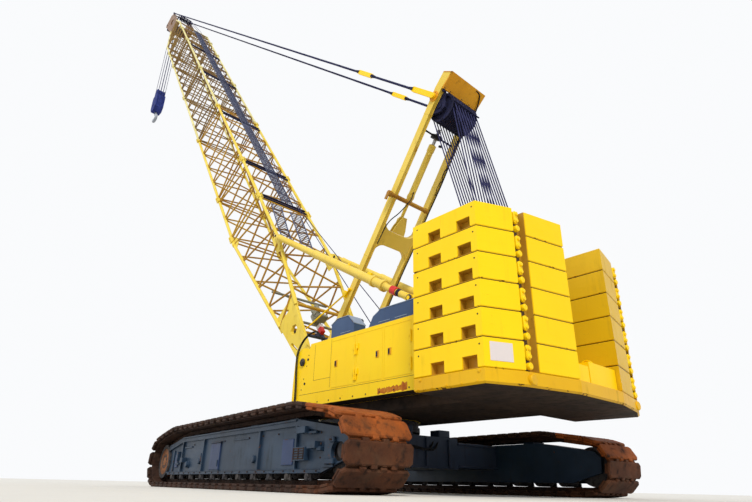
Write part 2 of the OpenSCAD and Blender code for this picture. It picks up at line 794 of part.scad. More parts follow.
module boom_insert_1() { insert_section(0); }
module boom_insert_2() { insert_section(1); }
module boom_insert_3() { insert_section(2); }
module boom_insert_4() { insert_section(3); }
module boom_insert_5() { insert_section(4); }

// a point just short of p, on the way to q
function short_of(p, q) = p + (q - p)*knee_gap/norm(q - p);

// the plate at the end of the foot, seen from the side
module foot_plate() {
    difference() {
        union() {
            translate([0, drop]) circle(r = 200);
            polygon([[0, drop - 170], [500, -130], [2000, -320], [2000, 620], [500, 450], [0, drop + 170]]);
        }
        translate([0, drop]) circle(r = foot_pin_r + seat);
        translate([1050, 160]) circle(r = 170, $fn = 6);
    }
}

module stop_lug() {
    polygon([[stop_s - 400, hd - 100], [stop_s + 400, hd - 20],
        [stop_s + 110, stop_h + drop + 60], [stop_s - 110, stop_h + drop + 60]]);
}

module boom_foot() {
    s1 = foot_l - seat/2;
    low0 = [plate_s, -300];
    top0 = [plate_s, 600];
    low_knee = low0 + ([knee_low, -hd] - low0)*(knee_top - plate_s)/(knee_low - plate_s);
    color(yellow) boom_frame() translate([0, 0, -drop]) {
        chord([knee_top + knee_gap, hd], [s1, hd]);
        chord([knee_low + knee_gap, -hd], [s1, -hd]);
        chord(low0, short_of([knee_low, -hd], low0));
        chord(top0, short_of([knee_top, hd], top0));
        for (h = [-hd, hd]) both() bar_x(s1 - 160, s1, hw, h, 82);
        collar(knee_top, hd);
        collar(knee_low, -hd);
        cross_face([knee_top, hd], [s1, hd], 4);
        cross_face(top0, [knee_top, hd], 4);
        cross_face(low0, [knee_low, -hd], 6);
        side_face([knee_low, -hd], [s1, -hd], [knee_low, hd], [s1, hd], 2);
        side_face(low_knee, [knee_low, -hd], [knee_top, hd], [knee_low, hd], 4);
        side_face(low0, low_knee, top0, [knee_top, hd], 4);
        both() slab_y(lug_in, lug_out) foot_plate();
        both() slab_y(stop_y - stop_rod_r - 90, stop_y - stop_rod_r - 10) stop_lug();
    }
}

// the chord's place at a share t of the tapered part of the head
function head_at(t) = [head_knee + (head_end - head_knee)*t, hw + (head_hw - hw)*t, hd + (head_hd - hd)*t];

module boom_head() {
    s0 = boom_l - head_l + seat/2;
    s2 = head_end;
    n = 6;
    color(yellow) boom_frame() translate([0, 0, -drop]) {
        for (h = [-hd, hd]) {
            chord([s0, h], [head_knee - knee_gap, h]);
            cross_face([s0, h], [head_knee, h], 2);
            both() bar_x(s0, s0 + 160, hw, h, 82);
            collar(head_knee, h);
            tip = [s2, head_hw, sign(h)*head_hd];
            both() round_strut(short_of([head_knee, hw, h], tip), tip, chord_r);
        }
        side_face([s0, -hd], [head_knee, -hd], [s0, hd], [head_knee, hd], 2);
        for (k = [0:n - 1]) {
            a = head_at((k + lace_gap)/n);
            b = head_at((k + 1 - lace_gap)/n);
            f = k%2 == 0 ? 1 : -1;
            both() strut([a[0], a[1], f*a[2]], [b[0], b[1], -f*b[2]], lace);
            for (h = [-1, 1]) strut([a[0], f*a[1], h*a[2]], [b[0], -f*b[1], h*b[2]], lace);
        }
        for (h = [-1, 1]) strut([head_knee, -hw, h*hd], [head_knee, hw, h*hd], lace);
        // end plates that carry the point sheaves
        both() slab_y(head_hw - head_plate/2, head_hw + head_plate/2) difference() {
            union() {
                polygon([[s2 - 250, -600], [boom_l - 300, point_h - 150], [boom_l + 200, point_h],
                    [boom_l, 250], [boom_l - 500, 560], [s2 - 250, 600]]);
                translate([boom_l, point_h]) circle(r = 220);
            }
            translate([boom_l, point_h]) circle(r = 70 + seat);
            translate([boom_l - 1300, 0]) circle(r = 260);
        }
        for (x = head_beams) translate([s2 + x - head_beam/2, -head_hw, head_top - head_beam])
            cube([head_beam, 2*head_hw, head_beam]);
        both() slab_y(head_hw - head_plate/2, head_hw + head_plate/2) polygon([[pend_s - 300, head_top - 20],
            [pend_s + 150, head_top - 120], [pend_s + 90, pend_h + drop + 60], [pend_s - 90, pend_h + drop + 60]]);
    }
}

module boom_walkway() {
    color(blue) boom_frame() translate([0, 0, -drop])
        box([foot_l + walk_end, walk_y[0], hd + lace/2 + seat], [head_knee - walk_end, walk_y[1], hd + lace/2 + walk_t]);
}

module boom_sheaves() {
    color(dark) boom_frame() translate([0, 0, -drop]) {
        y = head_hw - head_plate/2 - point_gap;
        sheave_pack(boom_l, point_h, point_r, -y, y, 6);
        bar_y(boom_l, point_h, 70, -head_hw - 60, head_hw + 60);
    }
}

// mast

// the plate between the mast's legs, drawn along and across the mast, with an arch at both ends
module arch_plate() {
    y = leg_y0 + 10;
    difference() {
        translate([arch_s[0] - arch_wing, -y]) square([arch_s[1] - arch_s[0] + 2*arch_wing, 2*y]);
        for (e = [0, 1]) translate([arch_s[e], 0]) mirror([1 - e, 0]) {
            for (k = [-1, 1]) translate([arch_r, k*(leg_y0 - arch_r)]) circle(r = arch_r);
            translate([0, -leg_y0 + arch_r]) square([arch_wing + 50, 2*(leg_y0 - arch_r)]);
            translate([arch_r, -leg_y0]) square([arch_wing + 50 - arch_r, 2*leg_y0]);
        }
    }
}

module mast() {
    color(yellow) mast_frame() difference() {
        union() {
            both() slab_y(leg_y0, leg_y1) polygon([[0, -160], [600, -leg_d/2], [head_s, -leg_d/2 - 20],
                [mast_l, -60], [mast_l, 290], [head_s, 150], [head_s - 500, leg_d/2], [600, leg_d/2], [0, 160]]);
            both() bar_y(0, 0, 160, leg_y0, leg_y1);
            translate([0, 0, -arch_t/2]) linear_extrude(arch_t) arch_plate();
            bar_y(cross_s, cross_h, 50, -leg_y1 + 20, leg_y1 + cross_out);
            // head: cover plate, end plate, front plate and the cheeks of the sheave shaft
            slab_y(-leg_y1, leg_y1) polygon([[head_s, 150], [mast_l, 250], [mast_l, 290], [head_s, 190]]);
            slab_y(-leg_y1, leg_y1) polygon([[mast_l - 40, -60], [mast_l, -60], [mast_l, 290], [mast_l - 40, 280]]);
            both() slab_y(cheek_y, leg_y0 + 10) union() {
                translate([mast_shaft, mast_shaft_h]) circle(r = 190);
                polygon([[mast_shaft - 250, -90], [mast_l - 50, -60], [mast_l - 50, 240], [head_s, 150],
                    [mast_shaft + 150, mast_shaft_h + 120], [mast_shaft - 180, mast_shaft_h + 60]]);
            }
            both() bar_y(boss_s, 0, 150, leg_y1 - 10, leg_y1 + lug_t);
        }
        bar_y(0, 0, foot_pin_r + seat, -2000, 2000);
        bar_y(mast_shaft, mast_shaft_h, mast_pin_r + seat, -leg_y0 - 20, leg_y0 + 20);
    }
}

module mast_sheaves() {
    color(dark) mast_frame() {
        sheave_pack(mast_shaft, mast_shaft_h, mast_sheave_r, -cheek_y + clear, cheek_y - clear, 8);
        bar_y(mast_shaft, mast_shaft_h, mast_pin_r, -leg_y0 - 20, leg_y0 + 20);
    }
}

// the ram between the legs: a foot on the arched plate, a neck, the tube and its rod
module mast_cylinder() {
    color(yellow) mast_frame() {
        box([arch_s[1] + seat, -45, ram_h - 60], [arch_s[1] + 480, 45, ram_h + 120]);
        bar_x(arch_s[1] + 400, ram_s + eps, 0, ram_h, 45);
        bar_x(ram_s, ram_s + ram_l, 0, ram_h, 90);
        bar_x(ram_s + ram_l - eps, ram_s + ram_l + ram_rod, 0, ram_h, 45);
    }
}

module pendants() {
    p = on_mast(boss_s, 0);
    q = on_boom(pend_s, pend_h);
    a = atan2(q[1] - p[1], q[0] - p[0]);
    l = norm(q - p);
    color(dark) translate([p[0], 0, p[1]]) rotate([0, -a, 0]) both() {
        bar_x(0, l, pend_y, 0, pend_r);
        box([-90, leg_y1 + lug_t + seat, -80], [900, pend_y + 35, 80]);
        box([l - 700, pend_y - 35, -60], [l + 80, pend_y + 35, 60]);
    }
}

// backstops

module backstop_tubes() {
    color(yellow) stop_frame() both() difference() {
        union() {
            bar_x(100, stop_collars[0], stop_y, 0, stop_foot_r);
            bar_x(stop_collars[0], stop_tube_l, stop_y, 0, stop_tube_r);
            for (x = stop_collars) bar_x(x - 45, x + 45, stop_y, 0, stop_tube_r + 25);
            bar_x(650, 930, stop_y, 0, stop_foot_r + 20);
            box([-90, stop_y - 60, -90], [200, stop_y + 60, 90]);
        }
        bar_y(0, 0, 45 + seat, stop_y - 200, stop_y + 200);
        bar_x(stop_bore_l, stop_tube_l + 10, stop_y, 0, stop_rod_r + seat);
    }
}

module backstop_rods() {
    color(yellow) stop_frame() both() {
        bar_x(stop_tube_l - stop_rod_in, stop_l - 60, stop_y, 0, stop_rod_r);
        box([stop_l - 200, stop_y - 50, -80], [stop_l + 90, stop_y + 50, 80]);
    }
}

// hook block

point = on_boom(boom_l, point_h - drop);

module hook_block() {
    color(dark) translate([point[0], 0, point[1]]) {
        both() for (y = [130, 310]) for (x = [-1, 1])
            translate([x*(point_r + rope_r + 0.5), y, -fall_l - block_neck - 150])
                cylinder(r = rope_r, h = fall_l + block_neck + 150);
        slab_y(-370, 370) polygon([[-200, -fall_l], [200, -fall_l], [230, -fall_l - block_neck + 60],
            [490, -fall_l - block_neck], [540, -fall_l - block_neck - 350], [520, -fall_l - block_h + 350],
            [250, -fall_l - block_h], [-250, -fall_l - block_h], [-520, -fall_l - block_h + 350],
            [-540, -fall_l - block_neck - 350], [-490, -fall_l - block_neck], [-230, -fall_l - block_neck + 60]]);
    }
}

module hook() {
    color(steel) translate([point[0], 0, point[1] - fall_l - block_h]) {
        translate([0, 0, -250]) cylinder(r = 90, h = 250 - ring_gap);
        slab_y(-75, 75) difference() {
            union() {
                translate([0, -hook_drop]) circle(r = hook_r);
                translate([-110, 120 - hook_drop]) square([220, 250]);
            }
            translate([0, -hook_drop]) circle(r = hook_bore);
        }
    }
}

carbody();
slew_ring();
side_frame_left();
side_frame_right();
track_left();
track_right();
wheels_left();
wheels_right();
deck();
boom_brackets();
foot_pins();
weight_tray();
weights_left();
weights_right();
house_left();
house_right();
engine();
roof_boxes();
backstop_posts();
cab_shell();
cab_glass();
cab_seat();
cab_door();
cab_door_glass();
door_left_1();
door_left_2();
door_left_3();
door_right_1();
door_right_2();
door_right_3();
main_drum();
second_drum();
mast_drum();
tail_sheaves();
mast();
mast_cylinder();
mast_sheaves();
pendants();
boom_foot();
boom_insert_1();
boom_insert_2();
boom_insert_3();
boom_insert_4();
boom_insert_5();
boom_head();
boom_walkway();
boom_sheaves();
backstop_tubes();
backstop_rods();
hook_block();
hook();
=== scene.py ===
# %% [markdown]
# # A crawler crane, dressed
# The construction model gives the crane's frame: which pieces there are, where they sit and how they move.
# This file puts the looks on it. It works in metres, X along the boom, Y to the left, Z up, with the
# origin on the ground under the middle of the slew ring. The frame is loaded first.

# %% Load the frame
import math

import bpy
import numpy as np
from mathutils import Matrix
from mathutils.geometry import tessellate_polygon


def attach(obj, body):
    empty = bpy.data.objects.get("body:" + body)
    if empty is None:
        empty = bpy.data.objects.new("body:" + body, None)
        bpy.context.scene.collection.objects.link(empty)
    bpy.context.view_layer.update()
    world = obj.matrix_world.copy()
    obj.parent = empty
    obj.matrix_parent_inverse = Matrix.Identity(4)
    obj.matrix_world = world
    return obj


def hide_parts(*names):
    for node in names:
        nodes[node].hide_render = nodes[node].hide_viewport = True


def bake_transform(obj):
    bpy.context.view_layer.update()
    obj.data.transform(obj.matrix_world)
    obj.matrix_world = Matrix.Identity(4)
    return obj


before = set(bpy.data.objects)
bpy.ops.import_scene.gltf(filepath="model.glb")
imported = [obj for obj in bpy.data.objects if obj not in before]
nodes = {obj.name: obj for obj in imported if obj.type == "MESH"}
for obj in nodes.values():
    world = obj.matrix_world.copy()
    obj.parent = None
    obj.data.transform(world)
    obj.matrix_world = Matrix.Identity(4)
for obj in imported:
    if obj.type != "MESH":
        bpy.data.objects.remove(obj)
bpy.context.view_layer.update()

# %% [markdown]
# ## Camera
# The photograph was taken from close to the ground, behind the crane and to its left, looking up.
# A camera could be aimed with a Track To constraint, but here three angles are written down: the heading
# counted from the boom's direction, the tilt upwards, and a slight roll of the hand-held picture.
# The rotation matrix has the picture's right, its up and the backward direction as columns.

# %% Camera
HEADING, TILT, ROLL = math.radians(-41.6154), math.radians(23.8186), math.radians(1.3315)
STAND = (-10.1649, 8.9419, 0.1136)
SENSOR, PICTURE_WIDTH, FOCAL_LENGTH, SHIFT = 36.0, 752, 527.574, 2.898  # the last three in pixels
FAR = 2000.0
level = np.array([math.cos(HEADING), math.sin(HEADING), 0.0])
side = np.array([math.sin(HEADING), -math.cos(HEADING), 0.0])
ahead = level * math.cos(TILT) + np.array([0, 0, math.sin(TILT)])
above = -level * math.sin(TILT) + np.array([0, 0, math.cos(TILT)])
right = side * math.cos(ROLL) + above * math.sin(ROLL)
up = above * math.cos(ROLL) - side * math.sin(ROLL)
camera_data = bpy.data.cameras.new("camera")
camera_data.sensor_width = SENSOR
camera_data.lens = SENSOR * FOCAL_LENGTH / PICTURE_WIDTH
camera_data.shift_y = SHIFT / PICTURE_WIDTH
camera_data.clip_end = FAR
camera = bpy.data.objects.new("camera", camera_data)
aimed = np.eye(4)
aimed[:3, :3] = np.stack([right, up, -ahead], axis=1)
aimed[:3, 3] = STAND
camera.matrix_world = Matrix(aimed.tolist())
bpy.context.scene.collection.objects.link(camera)
bpy.context.scene.camera = camera
print("camera at", aimed[:3, 3].round(2), "lens", round(camera_data.lens, 2))

# %% [markdown]
# ## Light
# A crane under a bright, slightly hazy sky. An HDR picture of a sky would do it, but a soft sun and a pale
# world give the same calm shadows without any image. The world is white only where the camera, a mirror
# or a pane looks at it, and a soft grey-blue where it lights the crane.


# %% World and sun
def joined(tree, kind, links=(), **values):
    """Adds a node of this kind, sets its values, and joins (output, input) pairs into it."""
    node = tree.nodes.new(kind)
    for key, value in values.items():
        if key.startswith("in_"):
            node.inputs[key[3:].replace("_", " ")].default_value = value
        else:
            setattr(node, key, value)
    for out, name in links:
        tree.links.new(out, node.inputs[name])
    return node


world = bpy.data.worlds.new("sky")
bpy.context.scene.world = world
world.use_nodes = True
tree = world.node_tree
tree.nodes.clear()
rays = joined(tree, "ShaderNodeLightPath")
seen = joined(tree, "ShaderNodeMath", [(rays.outputs["Is Camera Ray"], 0),
    (rays.outputs["Is Glossy Ray"], 1)], operation="MAXIMUM")
shown = joined(tree, "ShaderNodeMath", [(seen.outputs[0], 0), (rays.outputs["Is Transmission Ray"], 1)],
    operation="MAXIMUM")
light = joined(tree, "ShaderNodeBackground", in_Color=(0.83, 0.90, 1.0, 1), in_Strength=0.62)
plain = joined(tree, "ShaderNodeBackground", in_Color=(0.955, 0.965, 0.98, 1), in_Strength=1.0)
mixed = joined(tree, "ShaderNodeMixShader", [(shown.outputs[0], 0), (light.outputs[0], 1),
    (plain.outputs[0], 2)])
joined(tree, "ShaderNodeOutputWorld", [(mixed.outputs[0], "Surface")])


def sun(name, azimuth, height, strength, softness):
    """A sun that shines from this compass angle (counted from +X towards +Y) and height, in degrees."""
    data = bpy.data.lights.new(name, "SUN")
    data.energy, data.angle, data.color = strength, math.radians(softness), (1.0, 0.97, 0.92)
    lamp = bpy.data.objects.new(name, data)
    a, h = math.radians(azimuth), math.radians(height)
    back = np.array([math.cos(a) * math.cos(h), math.sin(a) * math.cos(h), math.sin(h)])
    across = np.cross([0, 0, 1.0], back)
    across /= np.linalg.norm(across)
    m = np.eye(4)
    m[:3, :3] = np.stack([across, np.cross(back, across), back], axis=1)
    lamp.matrix_world = Matrix(m.tolist())
    bpy.context.scene.collection.objects.link(lamp)


sun("sun", 140, 42, 2.4, 12)
sun("sky_fill", 60, 30, 0.5, 60)
print("lit by a sun, a fill and a pale world")

# %% [markdown]
# ## Surfaces from numbers
# Every new piece is a surface worked out as whole arrays. A shape here is a pair: its points, and a list
# of face arrays, each with a mark that says whether those faces are an edge (1) or not (0). Paint wears
# off at the edges first, so a finish can ask for that mark.


# %% Shapes and meshes
def join(*shapes):
    """Lays shapes end to end: points are stacked and each face array is shifted by the points before it."""
    points, faces, start = [], [], 0
    for v, f in shapes:
        points.append(v)
        faces += [(a + start, mark) for a, mark in f]
        start += len(v)
    return np.concatenate(points), faces


SHARP = math.radians(38)


def put(name, shape, body, finish, smooth=False, stands_for=()):
    """Makes a shape's mesh, gives it a finish and rides it on a body. Without a body it is left unattached."""
    v, f = shape
    loops = np.concatenate([a.ravel() for a, _ in f]).astype(np.int32)
    sizes = np.concatenate([np.full(len(a), a.shape[1]) for a, _ in f])
    mesh = bpy.data.meshes.new(name)
    mesh.vertices.add(len(v))
    mesh.vertices.foreach_set("co", np.asarray(v, np.float32).ravel())
    mesh.loops.add(len(loops))
    mesh.loops.foreach_set("vertex_index", loops)
    mesh.polygons.add(len(sizes))
    mesh.polygons.foreach_set("loop_start", np.concatenate([[0], np.cumsum(sizes)[:-1]]).astype(np.int32))
    mesh.update(calc_edges=True)
    edge = mesh.attributes.new("edge", "FLOAT", "FACE")
    edge.data.foreach_set("value", np.concatenate([np.full(len(a), float(m)) for a, m in f]))
    mesh.polygons.foreach_set("use_smooth", np.full(len(sizes), smooth))
    if smooth:
        mesh.set_sharp_from_angle(angle=SHARP)
    mesh.materials.append(finish)
    piece = bpy.data.objects.new(name, mesh)
    bpy.context.scene.collection.objects.link(piece)
    if body:
        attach(piece, body)
    if stands_for:
        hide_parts(*stands_for)
    print(name, len(sizes), "faces")
    return piece


def place(shape, m):
    """Moves a shape by a 3 x 4 matrix: turned points plus an offset."""
    v, f = shape
    return v @ m[:, :3].T + m[:, 3], f


def mirror(shape):
    """The other side of a shape: y changes sign and each face runs the other way round."""
    v, f = shape
    return v * [1, -1, 1], [(a[:, ::-1], mark) for a, mark in f]


def both(shape):
    """A shape and its mirror image."""
    return join(shape, mirror(shape))


def copies(shape, at):
    """One shape at many places: at is n offsets, or n matrices of 3 x 4."""
    v, f = shape
    at = np.asarray(at, float)
    if at.ndim == 2:
        points = v[None] + at[:, None, :]
    else:
        points = np.einsum("nij,kj->nki", at[:, :, :3], v) + at[:, None, :, 3]
    shift = (np.arange(len(at)) * len(v))[:, None, None]
    return points.reshape(-1, 3), [((a[None] + shift).reshape(-1, a.shape[1]), mark) for a, mark in f]


def unit(v):
    """Each row divided by its own length."""
    return v / np.linalg.norm(v, axis=-1, keepdims=True)


def turns(n):
    """n angles spread evenly over a whole turn."""
    return np.arange(n) * 2 * np.pi / n


def xyz(x, y, z):
    """Rows of coordinates from three arrays or numbers, a number being the same in every row."""
    return np.stack(np.broadcast_arrays(x, y, z), -1)


def around(u, w, n):
    """n unit offsets round each axis, in the plane of its two directions u and w."""
    t = turns(n)[None, :, None]
    return np.cos(t) * u[:, None] + np.sin(t) * w[:, None]


def bars(p, q, r, n=10):
    """Round bars between pairs of points: at both ends a ring of n points and a flat cap."""
    p, q = np.atleast_2d(np.asarray(p, float)), np.atleast_2d(np.asarray(q, float))
    r = np.broadcast_to(np.asarray(r, float), len(p))[:, None, None]
    along = unit(q - p)
    ref = np.where(np.abs(along[:, 2:]) > 0.9, [[1.0, 0, 0]], [[0, 0, 1.0]])
    u = unit(np.cross(ref, along))
    w = np.cross(along, u)
    ring = around(u, w, n) * r
    v = np.concatenate([p[:, None] + ring, q[:, None] + ring], axis=1).reshape(-1, 3)
    k = np.arange(n)
    j = (k + 1) % n
    start = (np.arange(len(p)) * 2 * n)[:, None, None]
    walls = (np.stack([k, j, j + n, k + n], 1)[None] + start).reshape(-1, 4)
    caps = np.concatenate([k[None, ::-1] + start[:, 0], k[None] + n + start[:, 0]])
    return v, [(walls, 0), (caps, 0)]


def skin(rings, turned_over=False):
    """A closed skin over rings of points: quads from each ring to the next, and a flat cap at both ends."""
    rows, n = rings.shape[:2]
    k, row = np.meshgrid(np.arange(n), np.arange(rows - 1))
    j = (k + 1) % n
    quads = np.stack([row * n + k, row * n + j, (row + 1) * n + j, (row + 1) * n + k], -1).reshape(-1, 4)
    first = np.arange(n)[None, ::-1]
    last = first[:, ::-1]
    if turned_over:
        quads, first, last = quads[:, [0, 3, 2, 1]], last, first
    return rings.reshape(-1, 3), [(quads, 0), (first, 0), (last + (rows - 1) * n, 0)]


def hose(path, r, n=8):
    """A tube along a path: at each point a ring in the plane across it, and a cap at both ends."""
    path = np.asarray(path, float)
    along = unit(np.gradient(path, axis=0))
    ref = np.array([0.31, 0.87, 0.38])
    u = unit(np.cross(along, ref))
    w = np.cross(along, u)
    radius = np.broadcast_to(np.asarray(r, float), len(path))[:, None, None]
    return skin(path[:, None] + around(u, w, n) * radius)


def bend(points, n=24):
    """A smooth curve through points: cubic pieces, each slope taken from a point's two neighbours."""
    p = np.asarray(points, float)
    slope = np.gradient(p, axis=0)
    t = np.linspace(0, 1, n)[None, :, None]
    a, b, m0, m1 = p[:-1, None], p[1:, None], slope[:-1, None], slope[1:, None]
    c = (2 * t**3 - 3 * t**2 + 1) * a + (t**3 - 2 * t**2 +
        t) * m0 + (3 * t**2 - 2 * t**3) * b + (t**3 - t**2) * m1
    return np.concatenate([c[:, :-1].reshape(-1, 3), p[-1:]])


CORNERS = np.array([[x, y, z] for x in (-1, 1) for y in (-1, 1) for z in (-1, 1)], float)


def blocks(lo, hi, bevel=0.004):
    """Boxes with cut edges: each corner of a box is three points, one on each face that meets there."""
    lo, hi = np.atleast_2d(np.asarray(lo, float)), np.atleast_2d(np.asarray(hi, float))
    half, mid = (hi - lo) / 2, (hi + lo) / 2
    cut = np.minimum(bevel, half.min(axis=1, keepdims=True) * 0.6)
    offsets = np.stack([CORNERS[None] * (half - cut)[:, None] + CORNERS[None] * cut[:, None] * np.eye(3)[a]
        for a in range(3)], 2)
    v = (mid[:, None, None] + offsets).reshape(-1, 3)
    start = (np.arange(len(lo)) * 24)[:, None, None]
    flat, edges, tips = [], [], []
    index = lambda c, a: c * 3 + a
    code = lambda s: int((s[0] > 0) * 4 + (s[1] > 0) * 2 + (s[2] > 0))
    for a in range(3):
        b, c = (a + 1) % 3, (a + 2) % 3
        for s in (-1, 1):
            ring = []
            for sb, sc in ((-1, -1), (1, -1), (1, 1), (-1, 1)):
                corner = np.zeros(3)
                corner[[a, b, c]] = s, sb, sc
                ring.append(index(code(corner), a))
            flat.append(ring[::s])
        for sb in (-1, 1):
            for sc in (-1, 1):
                one, two = np.zeros(3), np.zeros(3)
                one[[a, b, c]], two[[a, b, c]] = (-1, sb, sc), (1, sb, sc)
                ring = [index(code(one), b), index(code(two), b), index(code(two), c), index(code(one), c)]
                edges.append(ring[:: -1 if sb * sc > 0 else 1])
    for k, corner in enumerate(CORNERS):
        ring = [index(k, 0), index(k, 1), index(k, 2)]
        tips.append(ring[:: 1 if corner.prod() > 0 else -1])
    spread = lambda a: (np.array(a)[None] + start).reshape(-1, len(a[0]))
    return v, [(spread(flat), 0), (spread(edges), 1), (spread(tips), 1)]


def boxes(rows, bevel=0.004):
    """Boxes from rows of six numbers, first the low corner and then the high one."""
    rows = np.asarray(rows, float)
    return blocks(rows[:, :3], rows[:, 3:], bevel)


def rods(rows, r, n=10):
    """Round bars from rows of six numbers, first one end and then the other."""
    rows = np.asarray(rows, float)
    return bars(rows[:, :3], rows[:, 3:], r, n)


def inset(loop, d):
    """A closed outline moved inwards by d: each corner goes along the bisector of its two sides."""
    before, after = unit(loop - np.roll(loop, 1, 0)), unit(np.roll(loop, -1, 0) - loop)
    n0, n1 = np.stack([-before[:, 1], before[:, 0]], 1), np.stack([-after[:, 1], after[:, 0]], 1)
    return loop + (n0 + n1) / np.maximum(1 + (n0 * n1).sum(1, keepdims=True), 0.35) * d


def slab(outline, holes=(), lo=0.0, hi=1.0, bevel=0.006, bevel_lo=None):
    """A plate: an outline with holes pushed from lo to hi, with a cut edge of its own width at each end."""
    bevel_lo = bevel if bevel_lo is None else bevel_lo
    loops = [np.asarray(outline, float)] + [np.asarray(h, float)[::-1] for h in holes]
    area = lambda a: (a[:, 0] * np.roll(a[:, 1], -1) - a[:, 1] * np.roll(a[:, 0], -1)).sum()
    loops = [a if (area(a) > 0) == (i == 0) else a[::-1] for i, a in enumerate(loops)]
    v, walls, cuts, start = [], [], [], 0
    for a in loops:
        n = len(a)
        rows = [(inset(a, bevel_lo), lo), (a, lo + bevel_lo), (a, hi - bevel), (inset(a, bevel), hi)]
        v += [np.column_stack([b, np.full(n, z)]) for b, z in rows]
        k = np.arange(n)
        j = (k + 1) % n
        for row, into in ((0, cuts), (1, walls), (2, cuts)):
            into.append(np.stack([k + row * n, j + row * n, j + (row + 1) * n, k + (row + 1) * n], 1) +
                start)
        start += 4 * n
    flat = [[(float(x), float(y), 0.0) for x, y in inset(a, bevel)] for a in loops]
    tri = np.array(tessellate_polygon(flat))
    place_of = np.concatenate([np.arange(len(a)) + 4 * sum(len(b) for b in loops[:i])
        for i, a in enumerate(loops)])
    size_of = np.concatenate([np.full(len(a), len(a)) for a in loops])
    low, top = place_of[tri], place_of[tri] + 3 * size_of[tri]
    plan = np.concatenate(loops)
    a, b, c = (plan[tri[:, i]] for i in range(3))
    turn = (b[:, 0] - a[:, 0]) * (c[:, 1] - a[:, 1]) - (b[:, 1] - a[:, 1]) * (c[:, 0] - a[:, 0])
    top[turn < 0] = top[turn < 0][:, ::-1]
    low[turn > 0] = low[turn > 0][:, ::-1]
    return np.concatenate(v), [(np.concatenate(walls), 0), (np.concatenate(cuts), 1), (top, 0), (low, 0)]


def standing(shape):
    """Turns a plate drawn in x and z, with its thickness along y: the third number becomes y."""
    v, f = shape
    return v[:, [0, 2, 1]], [(a[:, ::-1], mark) for a, mark in f]


def wall(outline, lo, hi, bevel, holes=()):
    """A plate drawn in x and z that reaches from y = lo to y = hi."""
    return standing(slab(outline, holes, lo, hi, bevel))


def ring_of(x, y, r, n=20):
    """n points on a circle."""
    t = turns(n)
    return np.column_stack([x + r * np.cos(t), y + r * np.sin(t)])


def lathe(profile, n=32):
    """A profile of (distance along the axis, radius) turned round the Y axis."""
    p = np.asarray(profile, float)
    t = turns(n)
    return skin(xyz(p[:, 1:] * np.cos(t), p[:, :1], p[:, 1:] * np.sin(t)), True)


def along_x(shape):
    """A turned piece with its axis laid along X instead of Y."""
    v, f = shape
    return v[:, [1, 0, 2]], [(a[:, ::-1], mark) for a, mark in f]


def along_z(shape):
    """A turned piece with its axis stood up along Z instead of Y."""
    v, f = shape
    return v[:, [0, 2, 1]], [(a[:, ::-1], mark) for a, mark in f]


def turned(profile, n, at, lay=None):
    """A turned piece at many places, its axis along Y or laid down by along_x or along_z."""
    shape = lathe(profile, n)
    return copies(lay(shape) if lay else shape, at)


def bolt_circle(x, y, z, r, n):
    """n places on a circle of radius r round an axis that runs along Y through x and z."""
    t = turns(n)
    return xyz(x + r * np.cos(t), y, z + r * np.sin(t))


def bolts(at, r=0.022, h=0.018):
    """Hexagon heads that stand along Y at many places."""
    head = lathe([(0, r), (h * 0.8, r), (h, r * 0.8)], 6)
    return copies(head, at)


print("shape helpers ready")

# %% [markdown]
# ## Worn paint
# Old machine paint is never one colour. It fades in wide clouds, runs dirty in streaks below seams, and
# chips down to primer and rust. One node group makes all of that, so every painted part ages alike, and
# each finish only sets its own colours and amounts. Painting a texture by hand would tie it to one mesh.
# The group reads the object's own coordinates, so a pattern stays put when a part moves.


# %% Worn coat group
def group(name, **inputs):
    """An empty shader group with these inputs and the outputs Color, Roughness and Height."""
    g = bpy.data.node_groups.new(name, "ShaderNodeTree")
    colour, number = "NodeSocketColor", "NodeSocketFloat"
    for label, value in inputs.items():
        kind = colour if isinstance(value, tuple) else number
        g.interface.new_socket(label, in_out="INPUT", socket_type=kind).default_value = value
    for label, kind in (("Color", colour), ("Roughness", number), ("Height", number)):
        g.interface.new_socket(label, in_out="OUTPUT", socket_type=kind)
    return g, g.nodes.new("NodeGroupInput"), g.nodes.new("NodeGroupOutput")


def own_place(g):
    """The object's own coordinates."""
    return g.nodes.new("ShaderNodeTexCoord").outputs["Object"]


def noise(g, place_, scale, detail=4.0, stretch=(1, 1, 1)):
    """Soft random clouds of this many per metre, squeezed or drawn out along the axes."""
    m = joined(g, "ShaderNodeMapping", [(place_, "Vector")], in_Scale=stretch)
    return joined(g, "ShaderNodeTexNoise", [(m.outputs[0], "Vector")], in_Scale=scale, in_Detail=detail,
        in_Roughness=0.6).outputs["Fac"]


def step(g, value, lo, hi, top=1.0):
    """0 below lo, top above hi, and a ramp between."""
    n = joined(g, "ShaderNodeMapRange", [(value, "Value")])
    n.inputs["From Min"].default_value, n.inputs["From Max"].default_value = lo, hi
    n.inputs["To Max"].default_value = top
    return n.outputs[0]


def calc(g, how, a, b):
    """One sum on two values or outputs."""
    n = g.nodes.new("ShaderNodeMath")
    n.operation = how
    n.use_clamp = True
    for k, x in enumerate((a, b)):
        if isinstance(x, (int, float)):
            n.inputs[k].default_value = x
        else:
            g.links.new(x, n.inputs[k])
    return n.outputs[0]


def tint(g, share, a, b, how="MIX"):
    """Colour a turned into colour b by a share."""
    n = g.nodes.new("ShaderNodeMix")
    n.data_type, n.blend_type = "RGBA", how
    for socket, x in ((n.inputs[0], share), (n.inputs[6], a), (n.inputs[7], b)):
        if isinstance(x, (int, float, tuple)):
            socket.default_value = x
        else:
            g.links.new(x, socket)
    return n.outputs[2]


